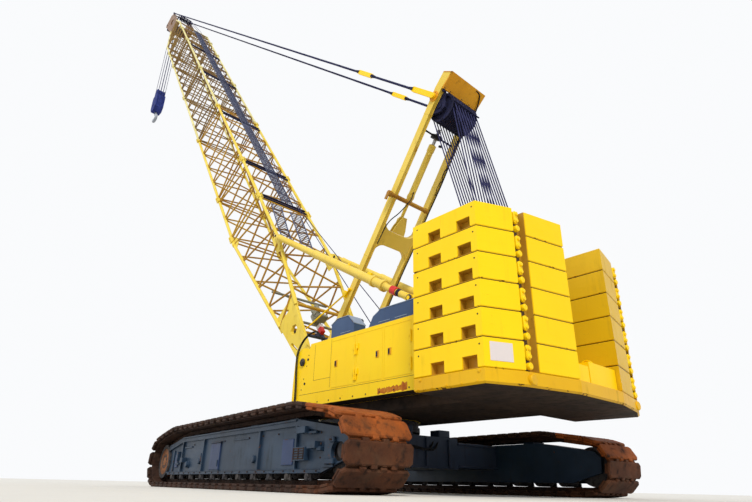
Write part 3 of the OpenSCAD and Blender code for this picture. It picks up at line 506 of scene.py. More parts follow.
coat, take, give = group("worn coat", Paint=(0.8, 0.5, 0.02, 1), Faded=(0.8, 0.6, 0.1, 1),
    Dirt=(0.1, 0.06, 0.03, 1), Rust=(0.22, 0.07, 0.02, 1), Fading=0.4, Streaks=0.3, Chips=0.3)
spot = own_place(coat)
clouds = noise(coat, spot, 0.55)
grime = noise(coat, spot, 2.6, 6.0)
runs = noise(coat, spot, 1.0, 5.0, (7.0, 7.0, 0.55))
flecks = noise(coat, spot, 19.0, 6.0)
grain = noise(coat, spot, 85.0, 3.0)
edge_mark = joined(coat, "ShaderNodeAttribute", attribute_name="edge").outputs["Fac"]
body_colour = tint(coat, calc(coat, "MULTIPLY", step(coat, clouds, 0.38, 0.68), take.outputs["Fading"]),
    take.outputs["Paint"], take.outputs["Faded"])
run_mark = calc(coat, "MULTIPLY", calc(coat, "MULTIPLY", step(coat, runs, 0.54, 0.74),
    step(coat, grime, 0.42, 0.66)), take.outputs["Streaks"])
dirty = tint(coat, run_mark, body_colour, take.outputs["Dirt"])
chip_noise = calc(coat, "ADD", flecks, calc(coat, "MULTIPLY", edge_mark, 0.16))
chip_field = calc(coat, "ADD", chip_noise, calc(coat, "MULTIPLY", take.outputs["Chips"], 0.12))
chip = step(coat, calc(coat, "MULTIPLY", chip_field, step(coat, grime, 0.25, 0.6)), 0.71, 0.75)
chipped = tint(coat, chip, dirty, take.outputs["Rust"])
for out, value in (("Color", chipped), ("Roughness",
        calc(coat, "ADD", calc(coat, "MULTIPLY", calc(coat, "ADD", run_mark, chip), 0.35),
        calc(coat, "ADD", 0.3, calc(coat, "MULTIPLY", grime, 0.22)))),
        ("Height", calc(coat, "SUBTRACT", calc(coat, "ADD", 0.3, calc(coat, "MULTIPLY", grain, 0.22)),
        calc(coat, "MULTIPLY", chip, 0.3)))):
    coat.links.new(value, give.inputs[out])
print("group:", coat.name)

# %% [markdown]
# ## Rust and grease
# Bare steel on the tracks has rusted in several browns at once, with darker pits and dust that lies
# in the hollows. Sheaves and drums are nearly black with old grease. Both are layers of noise again, but
# the colours come from three tones mixed by two different clouds, so no tone follows another.

# %% Rust group
rusty, take, give = group("rusted steel", Dark=(0.06, 0.03, 0.02, 1), Middle=(0.3, 0.1, 0.03, 1),
                          Light=(0.5, 0.2, 0.06, 1), Dust=(0.35, 0.28, 0.2, 1), Dusting=0.3, Scale=1.0)
spot = own_place(rusty)
size = joined(rusty, "ShaderNodeVectorMath", [(spot, 0), (take.outputs["Scale"], 3)],
    operation="SCALE").outputs[0]
wide, close, pits = noise(rusty, size, 1.3, 6.0), noise(rusty, size, 7.0, 8.0), noise(rusty, size, 60.0,
    4.0)
first = tint(rusty, step(rusty, wide, 0.36, 0.62), take.outputs["Middle"], take.outputs["Light"])
second = tint(rusty, step(rusty, close, 0.52, 0.72), first, take.outputs["Dark"])
third = tint(rusty, calc(rusty, "MULTIPLY", step(rusty, pits, 0.55, 0.75), 0.5), second,
    take.outputs["Dark"])
fourth = tint(rusty, calc(rusty, "MULTIPLY", step(rusty, noise(rusty, size, 3.1, 5.0), 0.48, 0.7),
    take.outputs["Dusting"]), third, take.outputs["Dust"])
for out, value in (("Color", fourth), ("Roughness",
        calc(rusty, "ADD", 0.55, calc(rusty, "MULTIPLY", close, 0.4))),
        ("Height", calc(rusty, "ADD", calc(rusty, "MULTIPLY", close, 0.5),
        calc(rusty, "MULTIPLY", pits, 0.4)))):
    rusty.links.new(value, give.inputs[out])
print("group:", rusty.name)

# %% [markdown]
# ## The finishes
# Each finish is one Principled shader fed by a group. What is the same all over a part, such as how
# metallic it is or how strong its clear coat, is set on the shader itself.


def rgb(text):
    """A colour written as six hex digits, turned into the linear values that a shader wants."""
    c = np.array([int(text[i:i + 2], 16) for i in (0, 2, 4)]) / 255
    return (*np.where(c < 0.04045, c / 12.92, ((c + 0.055) / 1.055) ** 2.4), 1.0)


def finish(name, slot, g, bump=0.004, metallic=0.0, coat_weight=0.0, **values):
    """A material: the group g with its own values, bumped, and driving a Principled shader."""
    m = bpy.data.materials.new(name)
    m.use_nodes = True
    t = m.node_tree
    shader = t.nodes["Principled BSDF"]
    n = t.nodes.new("ShaderNodeGroup")
    n.node_tree = g
    for key, value in values.items():
        n.inputs[key].default_value = rgb(value) if isinstance(value, str) else value
    t.links.new(n.outputs["Color"], shader.inputs["Base Color"])
    t.links.new(n.outputs["Roughness"], shader.inputs["Roughness"])
    b = joined(t, "ShaderNodeBump", [(n.outputs["Height"], "Height")], in_Strength=0.6, in_Distance=bump)
    t.links.new(b.outputs[0], shader.inputs["Normal"])
    shader.inputs["Metallic"].default_value = metallic
    shader.inputs["Coat Weight"].default_value = coat_weight
    shader.inputs["Coat Roughness"].default_value = 0.25
    shader.inputs["Specular IOR Level"].default_value = 0.2
    m.diffuse_color = rgb(next(v for v in values.values() if isinstance(v, str)))
    return m


def painted(name, slot, colours, fading, streaks, chips, gloss=0.0, metallic=0.0):
    """A coat of paint. The colours are those of the paint, its faded patches, its dirt and its rust."""
    amounts = {"Fading": fading, "Streaks": streaks, "Chips": chips}
    return finish(name, slot, coat, metallic=metallic, coat_weight=gloss,
                  **dict(zip(("Paint", "Faded", "Dirt", "Rust"), colours.split())), **amounts)


def rusted(name, slot, colours, dusting, scale, bump=0.004, metallic=0.0):
    """Bare or greasy steel. The colours are its dark, its middle and its light tone and its dust."""
    tones = dict(zip(("Dark", "Middle", "Light", "Dust"), colours.split()))
    return finish(name, slot, rusty, bump=bump, metallic=metallic, **tones, Dusting=dusting, Scale=scale)


YELLOW = painted("yellow machine paint", "yellow_paint", "F8CC04 FCD810 8A6A1C 6E3A14", 0.6, 0.22, 0.15)
HOUSE_YELLOW = painted("house paint", "yellow_paint", "FCCE06 FEDA0A 9A6F18 6E3A14", 0.7, 0.18, 0.1)
BOOM_YELLOW = painted("boom paint", "yellow_paint", "E0C23C EAD25A 7A5220 5E3214", 0.8, 0.6, 0.55,
    gloss=0.02)
BOOM_PALE = painted("faded boom paint", "yellow_paint", "D6C980 E2D99A 8A7440 5E4428", 0.8, 0.6, 0.6,
    gloss=0.02)
LACING = painted("weathered lacing paint", "yellow_paint", "A0701E CFA636 5C3818 5A2E12", 0.8, 0.8, 0.9,
    gloss=0.02)
LACING_TOP = painted("grimy lacing paint", "yellow_paint", "76592E A48444 38303C 4A3024", 0.8, 1.0, 1.0,
    gloss=0.02)
MAST_YELLOW = painted("mast paint", "yellow_paint", "E0C04A E8CC60 6A4A1A 50300F", 0.7, 0.5, 0.4,
    gloss=0.02)
OCHRE = painted("old ochre paint", "yellow_paint", "D9960F E0A51E 5C3A14 4A2A12", 0.8, 0.7, 0.5, gloss=0.03)
FRAME_GREY = painted("track frame paint", "grey_paint", "1E2D3E 2E4156 2E3028 5A3A26", 0.9, 0.9, 0.7,
    gloss=0.02)
NAVY = painted("carbody paint", "navy_paint", "2C3648 3A465A 241F1C 4A2E20", 0.8, 0.8, 0.6, gloss=0.02)
ROOF_BLUE = painted("roof box paint", "grey_paint", "30466A 3F5678 333A48 5A4636", 0.8, 0.5, 0.2,
    gloss=0.06)
WALK_BLUE = painted("walkway steel", "grey_paint", "444B66 5A607E 3C3844 5E4030", 0.8, 0.8, 0.7,
    metallic=0.2)
RED = painted("red cap paint", "trim", "C8201C D8382C 501814 3C1A12", 0.6, 0.5, 0.5, gloss=0.2)
PLATE_WHITE = painted("blank notice plate", "trim", "DCD2CE CFC4C2 9A8A6A 7A5A3A", 0.5, 0.4, 0.1, gloss=0.2)
UNIT_GREY = painted("grey unit paint", "grey_paint", "7D7C6E 93927F 3A342A 4A3220", 0.8, 0.9, 0.6,
    gloss=0.05)
SHOE_RUST = rusted("rusted shoe steel", "track_steel", "2E1A10 6E3A1A A05320 6E4A2C", 0.35, 1.0, bump=0.003,
    metallic=0.1)
SHOE_BROWN = rusted("earthy shoe steel", "track_steel", "1C110C 3E2418 5C3620 5A4432", 0.4, 1.0, bump=0.003,
    metallic=0.1)
SHOE_DARK = rusted("worn track links", "track_steel", "120E0D 2A1D18 402A20 54402F", 0.3, 2.0, bump=0.003,
    metallic=0.2)
WHEEL_STEEL = rusted("roller steel", "bare_steel", "17161A 34343A 54504E 6E6456", 0.3, 2.0, bump=0.006,
    metallic=0.4)
GREASE = rusted("greasy sheave steel", "dark_steel", "0C0D1A 1A1C34 2A2C4C 3A3430", 0.25, 2.5, metallic=0.5)
ROPE = rusted("wire rope", "dark_steel", "121328 22244A 3C3E68 4C4238", 0.2, 9.0, metallic=0.4)
BRIGHT = rusted("polished rod", "bare_steel", "77777A A8A8AA C8C8C8 8A8478", 0.25, 3.0, bump=0.0008,
    metallic=0.9)
RUBBER = rusted("black hose and rubber", "trim", "0B0B0C 161617 242426 4A463E", 0.25, 4.0, bump=0.002)
# A painted shadow in rust-brown tones, laid on the deck's side below the house.
DECK_SHADOW_PAINT = rusted("painted shadow in rust tones", "yellow_paint", "6A3010 A8541C C87A24 D8A030", 0.5, 5.0, bump=0.003)

# %% [markdown]
# Glass is the one finish without a group: it keeps a plain metallic and transmission, and only its
# roughness and a film of dust change over the pane.

# %% Glass
GLASS = bpy.data.materials.new("cab glass")
GLASS.use_nodes = True
tree = GLASS.node_tree
shader = tree.nodes["Principled BSDF"]
spot = own_place(tree)
film = step(tree, noise(tree, spot, 3.0, 6.0, (1, 1, 0.4)), 0.45, 0.75, 0.3)
tree.links.new(tint(tree, film, rgb("A9BCC2"), rgb("8E8A7C")), shader.inputs["Base Color"])
tree.links.new(calc(tree, "ADD", film, 0.03), shader.inputs["Roughness"])
shader.inputs["Transmission Weight"].default_value = 0.85
shader.inputs["IOR"].default_value = 1.45
GLASS.diffuse_color = rgb("8EA4AC")


# %% [markdown]
# ## Dressing the nodes that stay
# Where the construction solid already has the right shape, its own mesh stays and only gets a finish.

# %% Finishes on the carried-over nodes
def dress(finish_, *names):
    """Puts one finish in every material slot of the named nodes."""
    for name in names:
        data = nodes[name].data
        if not data.materials:
            data.materials.append(finish_)
        for k in range(len(data.materials)):
            data.materials[k] = finish_


dress(YELLOW, "weights_left", "weights_right")
dress(HOUSE_YELLOW, "deck", "house_left", "house_right", "cab_shell", "cab_door", "backstop_posts",
    "boom_brackets", *[n for n in nodes if n.startswith("door_")])
dress(MAST_YELLOW, "mast", "mast_cylinder", "pendants", "backstop_tubes")
dress(BOOM_YELLOW, *[n for n in nodes if n.startswith("boom_insert")], "boom_foot", "boom_head")
dress(FRAME_GREY, "side_frame_left", "side_frame_right")
dress(NAVY, "carbody")
dress(ROOF_BLUE, "roof_boxes")
dress(WALK_BLUE, "boom_walkway")
dress(SHOE_RUST, "track_left", "track_right")
dress(WHEEL_STEEL, "wheels_left", "wheels_right", "slew_ring", "foot_pins", "backstop_rods")
dress(GREASE, "main_drum", "second_drum", "mast_drum", "tail_sheaves", "mast_sheaves", "boom_sheaves",
    "hook_block", "hook")
dress(UNIT_GREY, "engine")
dress(GLASS, "cab_glass", "cab_door_glass")
print("dressed", len(nodes), "nodes")

# %% [markdown]
# ## Where things are
# The boom, the mast, the backstops and the tracks each have their own straight axes. A matrix for each
# turns numbers along and across that part into the crane's frame, so a boom tube is written as simply as
# a tube that lies flat. The values repeat the driving dimensions of the construction source.

# %% Local frames
PIN = np.array([1.33, 0.0, 3.04])
BOOM_ANGLE, MAST_ANGLE, SWING = 53.4, 124.2, 5.0


def leaning(origin, angle):
    """A frame whose X leans up from the ground by this angle, with Y kept and Z square to both."""
    c, s = math.cos(math.radians(angle)), math.sin(math.radians(angle))
    return np.array([[c, 0, -s, origin[0]], [0, 1, 0, origin[1]], [s, 0, c, origin[2]]])


DROP, PIN_BORE = 0.15, 0.0805
EYE_S, EYE_H, PENDANT_S = 4.6, 1.0, 39.0
BOOM = leaning(PIN, BOOM_ANGLE)
BOOM[:, 3] -= BOOM[:, 2] * DROP
MAST = leaning(PIN, MAST_ANGLE)
STOP_FOOT = np.array([-2.7, 0.0, 3.8])
eye = leaning(PIN, BOOM_ANGLE) @ [EYE_S, 0, EYE_H, 1]
STOP_ANGLE = math.degrees(math.atan2(eye[2] - STOP_FOOT[2], eye[0] - STOP_FOOT[0]))
STOP_LENGTH = float(np.hypot(eye[2] - STOP_FOOT[2], eye[0] - STOP_FOOT[0]))
STOP = leaning(STOP_FOOT, STOP_ANGLE)
c, s = math.cos(math.radians(SWING)), math.sin(math.radians(SWING))
LOWER = np.array([[c, s, 0, 0], [-s, c, 0, 0], [0, 0, 1, 0]])


def on_boom(name, shape, *rest):
    """put() for a shape written in the boom's own numbers."""
    return put(name, place(shape, BOOM), "boom", *rest)


def on_mast(name, shape, *rest):
    """put() for a shape written in the mast's own numbers."""
    return put(name, place(shape, MAST), "mast", *rest)


def on_lower(name, shape, *rest):
    """put() for a shape written in the numbers of the turned lower works."""
    return put(name, place(shape, LOWER), "lower_works", *rest)


def on_upper(name, shape, *rest):
    """put() for a shape on the upper works."""
    return put(name, shape, "upper_works", *rest)


print("backstop", round(STOP_LENGTH, 2), "m at", round(STOP_ANGLE, 1), "degrees")

# %% [markdown]
# ## Lattice boom
# A boom is four long tubes, the chords, held apart by thin lacing tubes that zigzag between them. The
# construction solid has square lacing bars in flat faces. Here each bar is a round tube with a weld collar at
# its ends. Each section ends in pin lugs, where the pins that join two sections go through sideways. One
# function gives the ends of all bars of a zigzag as two arrays. The two lowest sections are cleaner and
# yellower than the rest, in the tubes as in the lacing.

# %% Boom sections
HW, HD, CHORD, LACE, COLLAR = 1.06, 1.035, 0.057, 0.031, 0.075
BOOM_L, FOOT_END, HEAD_START = 39.62, 7.62, 32.0
STARTS = np.array([FOOT_END, 10.67, 16.77, 22.87, 28.97, HEAD_START])
LACE_STEP, END_GAP, FRAME_GAP, CLEAN = 1.525, 0.12, 0.13, 2


def zigzag(a0, a1, b0, b1, n):
    """Ends of n bars that run to and fro between the lines a0-a1 and b0-b1, touching each line in turn."""
    t = np.linspace(0, 1, n + 1)[:, None]
    a, b = np.asarray(a0) + (np.asarray(a1) - a0) * t, np.asarray(b0) + (np.asarray(b1) - b0) * t
    points = np.where(np.arange(n + 1)[:, None] % 2 == 0, a, b)
    return points[:-1], points[1:]


def laced(s0, s1, y0, y1, h0, h1, n, gap=0.05):
    """Lacing on the four faces of a box beam whose half width and half depth go from y0, h0 to y1, h1."""
    edge = lambda c: ([s0, c[0] * y0, c[1] * h0], [s1, c[0] * y1, c[1] * h1])
    faces = (((1, -1), (1, 1)), ((-1, -1), (-1, 1)), ((1, 1), (-1, 1)), ((1, -1), (-1, -1)))
    p, q = (np.concatenate(ends) for ends in zip(*[zigzag(*edge(a), *edge(b), n) for a, b in faces]))
    lean = np.zeros_like(p)
    lean[:, 0] = gap
    return p + lean, q - lean


def corners(y, h):
    """The four corners of a cross section of this half width and half depth."""
    return [(a * y, b * h) for a in (1, -1) for b in (1, -1)]


def four_bars(s0, y0, h0, s1, y1, h1, r=CHORD, n=16):
    """Four bars, each from a corner of one cross section to the same corner of another."""
    return bars([[s0, a, b] for a, b in corners(y0, h0)], [[s1, a, b] for a, b in corners(y1, h1)], r, n)


def frame_across(s, y, h, r=LACE, cross=True):
    """A closed frame of four tubes square across the boom, and a diagonal if cross is set."""
    c = np.array([[s, y, h], [s, -y, h], [s, -y, -h], [s, y, -h]])
    extra = 1 if cross else 0
    return bars(np.concatenate([c, c[:extra]]), np.concatenate([np.roll(c, -1, 0), c[2:2 + extra]]), r)


SLEEVE, PIN_IN, PIN_HALF, CHEEK_IN, CHEEK_OUT = 0.16, 0.07, 0.125, 0.085, 0.08


def lugs_at(s, way):
    """Pin lugs at one end of a section: a thick sleeve, two cheeks and a pin on each of the four chords."""
    four = corners(HW, HD)
    sleeves = four_bars(s, HW, HD, s - way * SLEEVE, HW, HD, 0.074, 14)
    pins = bars(*[[[s - way * PIN_IN, a + o, b] for a, b in four] for o in (-PIN_HALF, PIN_HALF)], 0.03, 10)
    cheeks = copies(blocks([-0.1, -0.012, -0.085], [0.1, 0.012, 0.085], 0.01),
                    [[s - way * CHEEK_IN, a + o, b] for a, b in four for o in (-CHEEK_OUT, CHEEK_OUT)])
    return join(sleeves, pins, cheeks)


def section(s0, s1):
    """One straight section: chords, lacing on four faces, end frames and pin lugs."""
    n = round((s1 - s0) / LACE_STEP) * 2
    chords = four_bars(s0 + 0.01, HW, HD, s1 - 0.01, HW, HD)
    p, q = laced(s0 + END_GAP, s1 - END_GAP, HW, HW, HD, HD, n)
    stubs = bars(np.concatenate([p, q + (p - q) * 0.06]), np.concatenate([p + (q - p) * 0.06, q]),
        LACE + 0.008, 8)
    return (join(chords, lugs_at(s0 + 0.005, -1), lugs_at(s1 - 0.005, 1)),
        join(bars(p, q, LACE), stubs, frame_across(s0 + FRAME_GAP, HW, HD),
        frame_across(s1 - FRAME_GAP, HW, HD)))


for k in range(5):
    tubes, lacing = section(STARTS[k], STARTS[k + 1])
    on_boom(f"boom_section_{k + 1}", tubes, BOOM_YELLOW if k < CLEAN else BOOM_PALE, True,
        [f"boom_insert_{k + 1}"])
    on_boom(f"boom_lacing_{k + 1}", lacing, LACING if k < CLEAN else LACING_TOP, True)

# %% [markdown]
# The foot tapers in the side view down to two plates with a pin hole, and its width stays. The top chord
# bends where the backstops push against it. Bends in the tubes are hidden in short collars.

# %% Boom foot
KNEE_TOP, KNEE_LOW, PLATE = 4.7, 7.3, 1.9
top0, low0 = np.array([PLATE, 0.6]), np.array([PLATE, -0.3])
low_knee = low0 + (np.array([KNEE_LOW, -HD]) - low0) * (KNEE_TOP - PLATE) / (KNEE_LOW - PLATE)


def tube_run(points, y, r=CHORD):
    """A chord through points of the side view on both sides, with a collar at each bend."""
    pts = np.array([[x, y, z] for x, z in points])
    shapes = [bars(pts[:-1], pts[1:], r, 16)]
    for k in range(1, len(pts) - 1):
        a, b = unit(pts[k] - pts[k - 1]), unit(pts[k + 1] - pts[k])
        shapes.append(hose(np.array([pts[k] - a * 0.09, pts[k] - a * 0.03, pts[k], pts[k] + b * 0.03,
            pts[k] + b * 0.09]), COLLAR, 16))
    return both(join(*shapes))


def flat_face(a0, a1, b0, b1, n, y0=None):
    """Lacing in one face: across the boom when y0 is None, or in the side planes at plus and minus y0."""
    if y0 is None:
        p, q = zigzag([a0[0], -HW, a0[1]], [a1[0], -HW, a1[1]], [a0[0], HW, a0[1]], [a1[0], HW, a1[1]], n)
        return bars(p, q, LACE)
    p, q = zigzag([a0[0], y0, a0[1]], [a1[0], y0, a1[1]], [b0[0], y0, b0[1]], [b1[0], y0, b1[1]], n)
    return both(bars(p, q, LACE))


hexagon = ring_of(1.27, 0.19, 0.15, 6)
slot_hole = np.array([[0.62, -0.02], [0.98, -0.13], [1.0, -0.07], [0.64, 0.04]])
cheek = np.array([[0.0, DROP - 0.17], [0.5, -0.13], [2.0, -0.32], [2.0, 0.62], [0.5, 0.45],
    [0.0, DROP + 0.17]])
round_end = ring_of(0, DROP, 0.2, 28)
round_end = round_end[round_end[:, 0] < 0.02]
round_end = round_end[np.argsort(-np.arctan2(round_end[:, 1] - DROP, -round_end[:, 0] + 1e-9))]
cheek = np.concatenate([cheek[1:5], round_end])
foot = join(tube_run([top0, (KNEE_TOP, HD), (FOOT_END, HD)], HW),
    tube_run([low0, (KNEE_LOW, -HD), (FOOT_END, -HD)], HW), lugs_at(FOOT_END - 0.005, 1),
    both(wall(cheek, 0.985, 1.085, 0.008, [hexagon, slot_hole, ring_of(0, DROP, PIN_BORE, 24)])))
foot_lacing = join(flat_face((KNEE_TOP, HD), (FOOT_END - END_GAP, HD), None, None, 4),
    flat_face(top0, (KNEE_TOP, HD), None, None, 4), flat_face(low0, (KNEE_LOW, -HD), None, None, 6),
    flat_face(low_knee, (KNEE_LOW, -HD), (KNEE_TOP, HD), (KNEE_LOW, HD), 4, HW),
    flat_face(low0, low_knee, top0, (KNEE_TOP, HD), 5, HW), frame_across(FOOT_END - FRAME_GAP, HW, HD),
    rods([[PLATE + 0.05, -HW, 0.6, PLATE + 0.05, HW, 0.6],
    [PLATE + 0.05, -HW, -0.3, PLATE + 0.05, HW, -0.3]], 0.05, 14))
on_boom("boom_foot_tubes", foot, BOOM_YELLOW, True)
on_boom("boom_foot_lacing", foot_lacing, LACING, True)

# %% Boom foot lugs
EYE_TOP = EYE_H + DROP
lug = np.array([[4.2, HD - 0.1], [5.0, HD - 0.02], [4.71, EYE_TOP + 0.06], [EYE_S, EYE_TOP + 0.09],
    [4.49, EYE_TOP + 0.06]])
stop_lugs = both(wall(lug, 1.065, 1.145, 0.006, [ring_of(EYE_S, EYE_TOP, 0.04, 18)]))
gussets = both(join(wall([[4.35, HD - 0.35], [5.05, HD - 0.3], [5.1, HD], [4.25, HD]], 1.03, 1.05, 0.003),
    wall([[6.9, -HD], [7.5, -HD], [7.4, -HD + 0.28], [7.1, -HD + 0.28]], 1.05, 1.07, 0.003),
    wall([[1.7, -0.36], [2.3, -0.44], [2.3, 0.74], [1.7, 0.62]], 1.03, 1.055, 0.004,
    [ring_of(2.05, 0.15, 0.1, 20)])))
on_boom("boom_foot_fittings", join(stop_lugs, gussets), BOOM_YELLOW, True, ["boom_foot"])

# %% [markdown]
# The head narrows to two end plates that carry the point sheaves underneath, where the hook's ropes come
# down. Four small guide sheaves between forks on the back show in the sky as dark horns.

# %% Boom head
KNEE, TAPER_END, HEAD_HW, HEAD_HD, POINT_H = 33.65, 37.22, 0.65, 0.48, -0.62
straight = four_bars(HEAD_START + 0.01, HW, HD, KNEE, HW, HD)
taper = four_bars(KNEE, HW, HD, TAPER_END, HEAD_HW, HEAD_HD)
knees = four_bars(KNEE - 0.09, HW, HD, KNEE + 0.08, HW - 0.009, HD - 0.013, COLLAR)
p0, q0 = laced(HEAD_START + END_GAP, KNEE, HW, HW, HD, HD, 2, 0.03)
p1, q1 = laced(KNEE, TAPER_END, HW, HEAD_HW, HD, HEAD_HD, 6, 0.06)
side_plate = np.array([[TAPER_END - 0.25, -0.6], [BOOM_L - 0.3, POINT_H - 0.15],
    [BOOM_L - 0.07, POINT_H - 0.215], [BOOM_L + 0.08, POINT_H - 0.205], [BOOM_L + 0.19, POINT_H - 0.1],
    [BOOM_L + 0.2, POINT_H], [BOOM_L, 0.25], [BOOM_L - 0.5, 0.56], [TAPER_END - 0.25, 0.6]])
plates = both(wall(side_plate, HEAD_HW - 0.04, HEAD_HW + 0.04, 0.008,
    [ring_of(BOOM_L, POINT_H, 0.072, 20), ring_of(BOOM_L - 1.3, 0, 0.26, 28)]))
cross_beams = boxes([[TAPER_END + 0.01, -HEAD_HW, 0.44, TAPER_END + 0.09, HEAD_HW, 0.52],
    [BOOM_L - 0.54, -HEAD_HW, 0.44, BOOM_L - 0.46, HEAD_HW, 0.52],
    [TAPER_END + 0.1, -HEAD_HW, -0.52, TAPER_END + 0.18, HEAD_HW, -0.44]], 0.01)
ears = both(wall([[38.72, 0.5], [39.15, 0.41], [39.12, 0.6], [39.07, 0.65], [38.93, 0.65], [38.88, 0.6]],
    HEAD_HW - 0.042, HEAD_HW + 0.042, 0.006, [ring_of(PENDANT_S, 0.6, 0.036, 16)]))
on_boom("boom_head_tubes", join(straight, taper, knees, lugs_at(HEAD_START + 0.005, -1)), BOOM_PALE, True,
    ["boom_head"])
head_lacing = join(bars(p0, q0, LACE), bars(p1, q1, LACE), frame_across(HEAD_START + FRAME_GAP, HW, HD),
    frame_across(KNEE, HW, HD), frame_across(KNEE + 2.4, HW - 0.275, HD - 0.373, LACE, False))
on_boom("boom_head_lacing", head_lacing, LACING_TOP, True)
HEAD_BROWN = painted("dirty head paint", "yellow_paint", "6E4A2E 86603C 3A2C20 4A2E18", 0.8, 0.9, 0.7)
on_boom("boom_head_plates", join(plates, cross_beams, ears), HEAD_BROWN, True)


def sheave(r, w, bore=0.07):
    """The half profile of a rope sheave of width w: hub, dished web, rim and groove, turned round Y."""
    h = w / 2
    return lathe([(-h, bore), (-h, bore * 1.9), (-h * 0.35, bore * 2.1), (-h * 0.3, r * 0.78),
        (-h, r * 0.84), (-h, r), (-h * 0.55, r * 0.995), (-h * 0.2, r * 0.92), (h * 0.2, r * 0.92),
        (h * 0.55, r * 0.995), (h, r), (h, r * 0.84), (h * 0.3, r * 0.78), (h * 0.35, bore * 2.1),
        (h, bore * 1.9), (h, bore)], 40)


def sheaves_at(x, z, r, y0, y1, n):
    """A row of n sheaves on one shaft between y0 and y1."""
    pitch = (y1 - y0) / n
    return copies(sheave(r, pitch * 0.8), [[x, y0 + (k + 0.5) * pitch, z] for k in range(n)])


point = join(sheaves_at(BOOM_L, POINT_H, 0.4, -0.56, 0.56, 6),
    bars([BOOM_L, -0.71, POINT_H], [BOOM_L, 0.71, POINT_H], 0.07, 20))
put("point_sheave_pack", place(point, BOOM), "point_sheaves", GREASE, True, ["boom_sheaves"])
guides = join(copies(sheave(0.2, 0.07, 0.035), [[37.75, y, 0.72] for y in (-0.36, -0.12, 0.12, 0.36)]),
    bars([37.75, -0.56, 0.72], [37.75, 0.56, 0.72], 0.035, 12),
    copies(wall([[37.6, 0.5], [37.95, 0.5], [37.82, 0.84], [37.74, 0.88], [37.66, 0.84]], -0.015, 0.015,
    0.004), [[0, y, 0] for y in (-0.52, -0.24, 0.0, 0.24, 0.52)]),
    rods([[37.3, -0.3, 0.55, 37.35, -0.34, 0.95], [37.3, 0.3, 0.55, 37.35, 0.34, 0.95]], 0.03, 10),
    rods([[37.35, -0.34, 0.95, 37.35, 0.34, 0.95]], 0.04, 10))
on_boom("head_rope_guides", guides, GREASE, True)

# %% [markdown]
# ## Live mast
# Two box legs lean back over the deck, tied by an arched plate and a thin cross tube. On top a cover plate
# closes the head, and a pack of sheaves sits between two dark cheeks. The legs could be plain boxes, but
# their side plates stand a little proud, so each leg is two plates with cut edges on a core.

# %% Mast legs and arched plate
LEG_IN, LEG_OUT = 0.56, 0.68
leg_side = np.array([[0.0, -0.16], [0.6, -0.1], [7.95, -0.12], [8.38, -0.06], [8.38, 0.27], [7.95, 0.14],
    [7.45, 0.095], [0.6, 0.095], [0.0, 0.16]])
legs = both(join(wall(leg_side, LEG_OUT - 0.016, LEG_OUT, 0.004),
    wall(leg_side, LEG_IN, LEG_IN + 0.016, 0.004),
    wall([[0.35, -0.115], [7.95, -0.1], [7.95, 0.125], [7.4, 0.08], [0.35, 0.08]], LEG_IN + 0.01,
    LEG_OUT - 0.01, 0.003)))
eyes = both(join(turned([(0, PIN_BORE), (0, 0.158), (0.12, 0.158), (0.12, PIN_BORE)], 36, [[0, LEG_IN, 0]]),
    wall([[0.0, -0.13], [0.75, -0.08], [0.95, -0.03], [0.95, 0.03], [0.75, 0.08], [0.0, 0.13]],
    LEG_OUT - 0.002, LEG_OUT + 0.0015, 0.001)))


def arc_points(x, y, r, a0, a1, n=10):
    """Points on a part of a circle, from angle a0 to a1 in degrees."""
    t = np.radians(np.linspace(a0, a1, n))
    return np.column_stack([x + r * np.cos(t), y + r * np.sin(t)])


ARCH, ARCH_R = (3.62, 4.04), 0.26
half_arch = np.concatenate([[[ARCH[1] + ARCH_R, 0.575]],
    arc_points(ARCH[1] + ARCH_R, LEG_IN - ARCH_R, ARCH_R, 90, 180)])
far_half = half_arch[::-1] * [1, -1]
top_edge = np.concatenate([half_arch, far_half])
low_edge = top_edge[::-1] * [-1, 1] + [ARCH[0] + ARCH[1], 0]
arch = slab(np.concatenate([top_edge, low_edge]), (), -0.08, 0.08, 0.01)
tube = join(bars([4.93, -0.66, 0.05], [4.93, 0.8, 0.05], 0.06, 20),
    bars([4.93, 0.76, 0.05], [4.93, 0.85, 0.05], 0.08, 20),
    both(bars([4.93, 0.54, 0.05], [4.93, 0.565, 0.05], 0.075, 20)))
tabs = boxes([[3.93, 0.59, -0.15, 4.1, 0.65, -0.095], [6.2, 0.6, 0.09, 6.32, 0.66, 0.12],
    [2.45, 0.6, -0.14, 2.52, 0.65, -0.095], [4.75, 0.84, 0.0, 4.98, 0.87, 0.1]], 0.006)
seams = both(boxes([[1.25, 0.555, -0.118, 1.275, 0.685, 0.088], [3.2, 0.555, -0.118, 3.225, 0.685, 0.09],
    [5.6, 0.555, -0.12, 5.62, 0.685, 0.092], [7.2, 0.555, -0.125, 7.22, 0.685, 0.094]], 0.004))
on_mast("mast_legs", join(legs, eyes, arch, seams), MAST_YELLOW, False, ["mast"])
on_mast("mast_cross_tube", join(tube, tabs), LACING, True)

# %% [markdown]
# The head is the busiest part of the mast: an ochre cover plate bent down at its end, cheeks for the shaft,
# a round boss with a ring of bolts for each pendant, and short bent lugs along the cover's lower edge.

